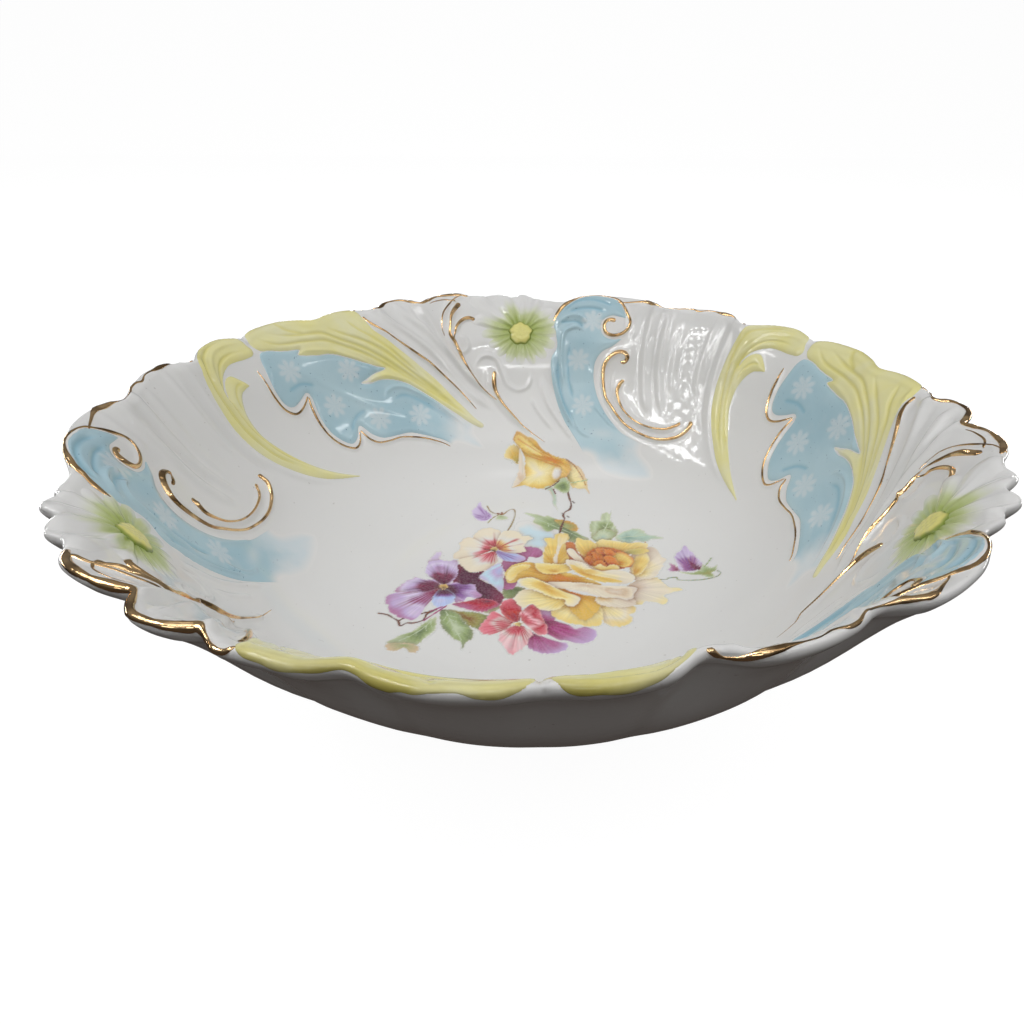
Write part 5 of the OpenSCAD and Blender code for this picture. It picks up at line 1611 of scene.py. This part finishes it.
def window_panes(place, columns, rows, pitch, size, power):
    """A window of small panes, for its broken reflection in the glaze and the gilding."""
    turn = facing(place, AIM)
    steps = [(i, j, Vector(((i - (columns - 1) / 2) * pitch, (j - (rows - 1) / 2) * pitch, 0)))
             for i in range(columns) for j in range(rows)]
    return [(f"pane_{i}_{j}", Vector(place) + turn @ step, AIM, (size, size), power, GLOSS)
            for i, j, step in steps]


# A light shows in the gloss, in the plain shading, or in both.
BOTH, LIGHT, GLOSS = range(3)
AIM = 0.03
# Each softbox: name, place, the height that it aims at, its size, its power, what it shows in.
SOFTBOXES = [
    ("overhead", (0.1, 0.1, 1.3), AIM, (1.7, 1.3), 4.7, LIGHT),
    ("sheen", (0, -0.6, 1.25), AIM, (1.8, 0.6), 4.0, GLOSS),
    ("window", (-0.1, 0.35, 1.2), AIM, (0.5, 0.22), 0.4, BOTH),
    ("left", (-1.0, -0.15, 1.0), AIM, (0.7, 0.9), 3.4, LIGHT),
    *window_panes((-1.0, -0.25, 1.0), 9, 7, 0.09, 0.042, 0.085),
    ("right", (1.0, -0.1, 1.0), AIM, (0.6, 0.9), 2.9, LIGHT),
    ("front", (0.15, -1.2, 1.0), AIM, (0.9, 0.35), 1.1, BOTH),
    ("glint", (-0.45, -1.2, 0.5), 0.05, (0.8, 0.25), 1.6, GLOSS),
    # low strips that light the outside only: they stay under the height of the rim
    ("low_left", (-1.1, 0.6, 0.04), 0.04, (0.9, 0.06), 3.0, BOTH),
    ("low_right", (1.1, 0.6, 0.04), 0.04, (0.9, 0.06), 3.0, BOTH),
    ("low_back", (0, 1.3, 0.04), 0.04, (0.9, 0.06), 3.0, BOTH),
    ("tube_left", (-0.62, -0.18, 0.82), AIM, (0.9, 0.022), 0.9, BOTH),
    ("tube_right", (0.66, -0.30, 0.74), AIM, (0.9, 0.022), 0.5, BOTH),
    ("tube_front", (0.05, -0.80, 0.86), AIM, (0.7, 0.018), 0.7, BOTH),
]


def make_light():
    """A dim studio, darker towards the floor, and the softboxes."""
    world = bpy.data.worlds.new("studio")
    bpy.context.scene.world = world
    world.use_nodes = True
    tree = world.node_tree
    back = tree.nodes["Background"]
    coord = tree.nodes.new("ShaderNodeTexCoord")
    split = tree.nodes.new("ShaderNodeSeparateXYZ")
    tone = tree.nodes.new("ShaderNodeValToRGB")
    tree.links.new(coord.outputs["Generated"], split.inputs[0])
    scaled = tree.nodes.new("ShaderNodeMapRange")
    scaled.inputs["From Min"].default_value = -1
    tree.links.new(split.outputs["Z"], scaled.inputs["Value"])
    tree.links.new(scaled.outputs["Result"], tone.inputs["Fac"])
    stops = tone.color_ramp.elements
    stops[0].position, stops[0].color = 0.30, (0.055, 0.045, 0.040, 1)
    stops[1].position, stops[1].color = 1.0, (0.30, 0.30, 0.30, 1)
    for at, value in ((0.50, 0.05), (0.56, 0.13), (0.72, 0.20)):
        stop = stops.new(at)
        stop.color = (value, value, value, 1)
    tree.links.new(tone.outputs["Color"], back.inputs["Color"])
    back.inputs["Strength"].default_value = 1.0
    for row in SOFTBOXES:
        softbox(*row)


# The camera of the photograph: place, what it looks at, roll in degrees, lens in mm and shift.
CAMERA_PLACE, CAMERA_AIM = (-0.0143, -0.2154, 0.1584), (0, 0, 0.02625)
CAMERA_ROLL, CAMERA_LENS, CAMERA_SHIFT = 0.573, 25.8, (-0.0178, 0.0229)


def make_camera():
    data = bpy.data.cameras.new("camera")
    camera = bpy.data.objects.new("camera", data)
    camera.location = CAMERA_PLACE
    aim = Vector(CAMERA_AIM) - camera.location
    turn = aim.to_track_quat("-Z", "Y").to_matrix() @ Matrix.Rotation(CAMERA_ROLL * DEG, 3, "Z")
    camera.rotation_euler = turn.to_euler()
    data.sensor_width = 36
    data.lens = CAMERA_LENS
    data.shift_x, data.shift_y = CAMERA_SHIFT
    data.clip_start = 0.01
    bpy.context.scene.collection.objects.link(camera)
    bpy.context.scene.camera = camera
    bpy.context.scene.view_settings.view_transform = "Standard"


def finish_cad():
    """The foot ring keeps its CAD shape."""
    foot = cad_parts["foot_ring"]
    foot.data.materials.clear()
    foot.data.materials.append(foot_glaze())


make_bowl(porcelain())
make_enamel()
make_gilding(gold())
make_daisy(daisy_glaze())
make_boss(boss_glaze())
make_prints()
finish_cad()
make_stage()
make_light()
make_camera()
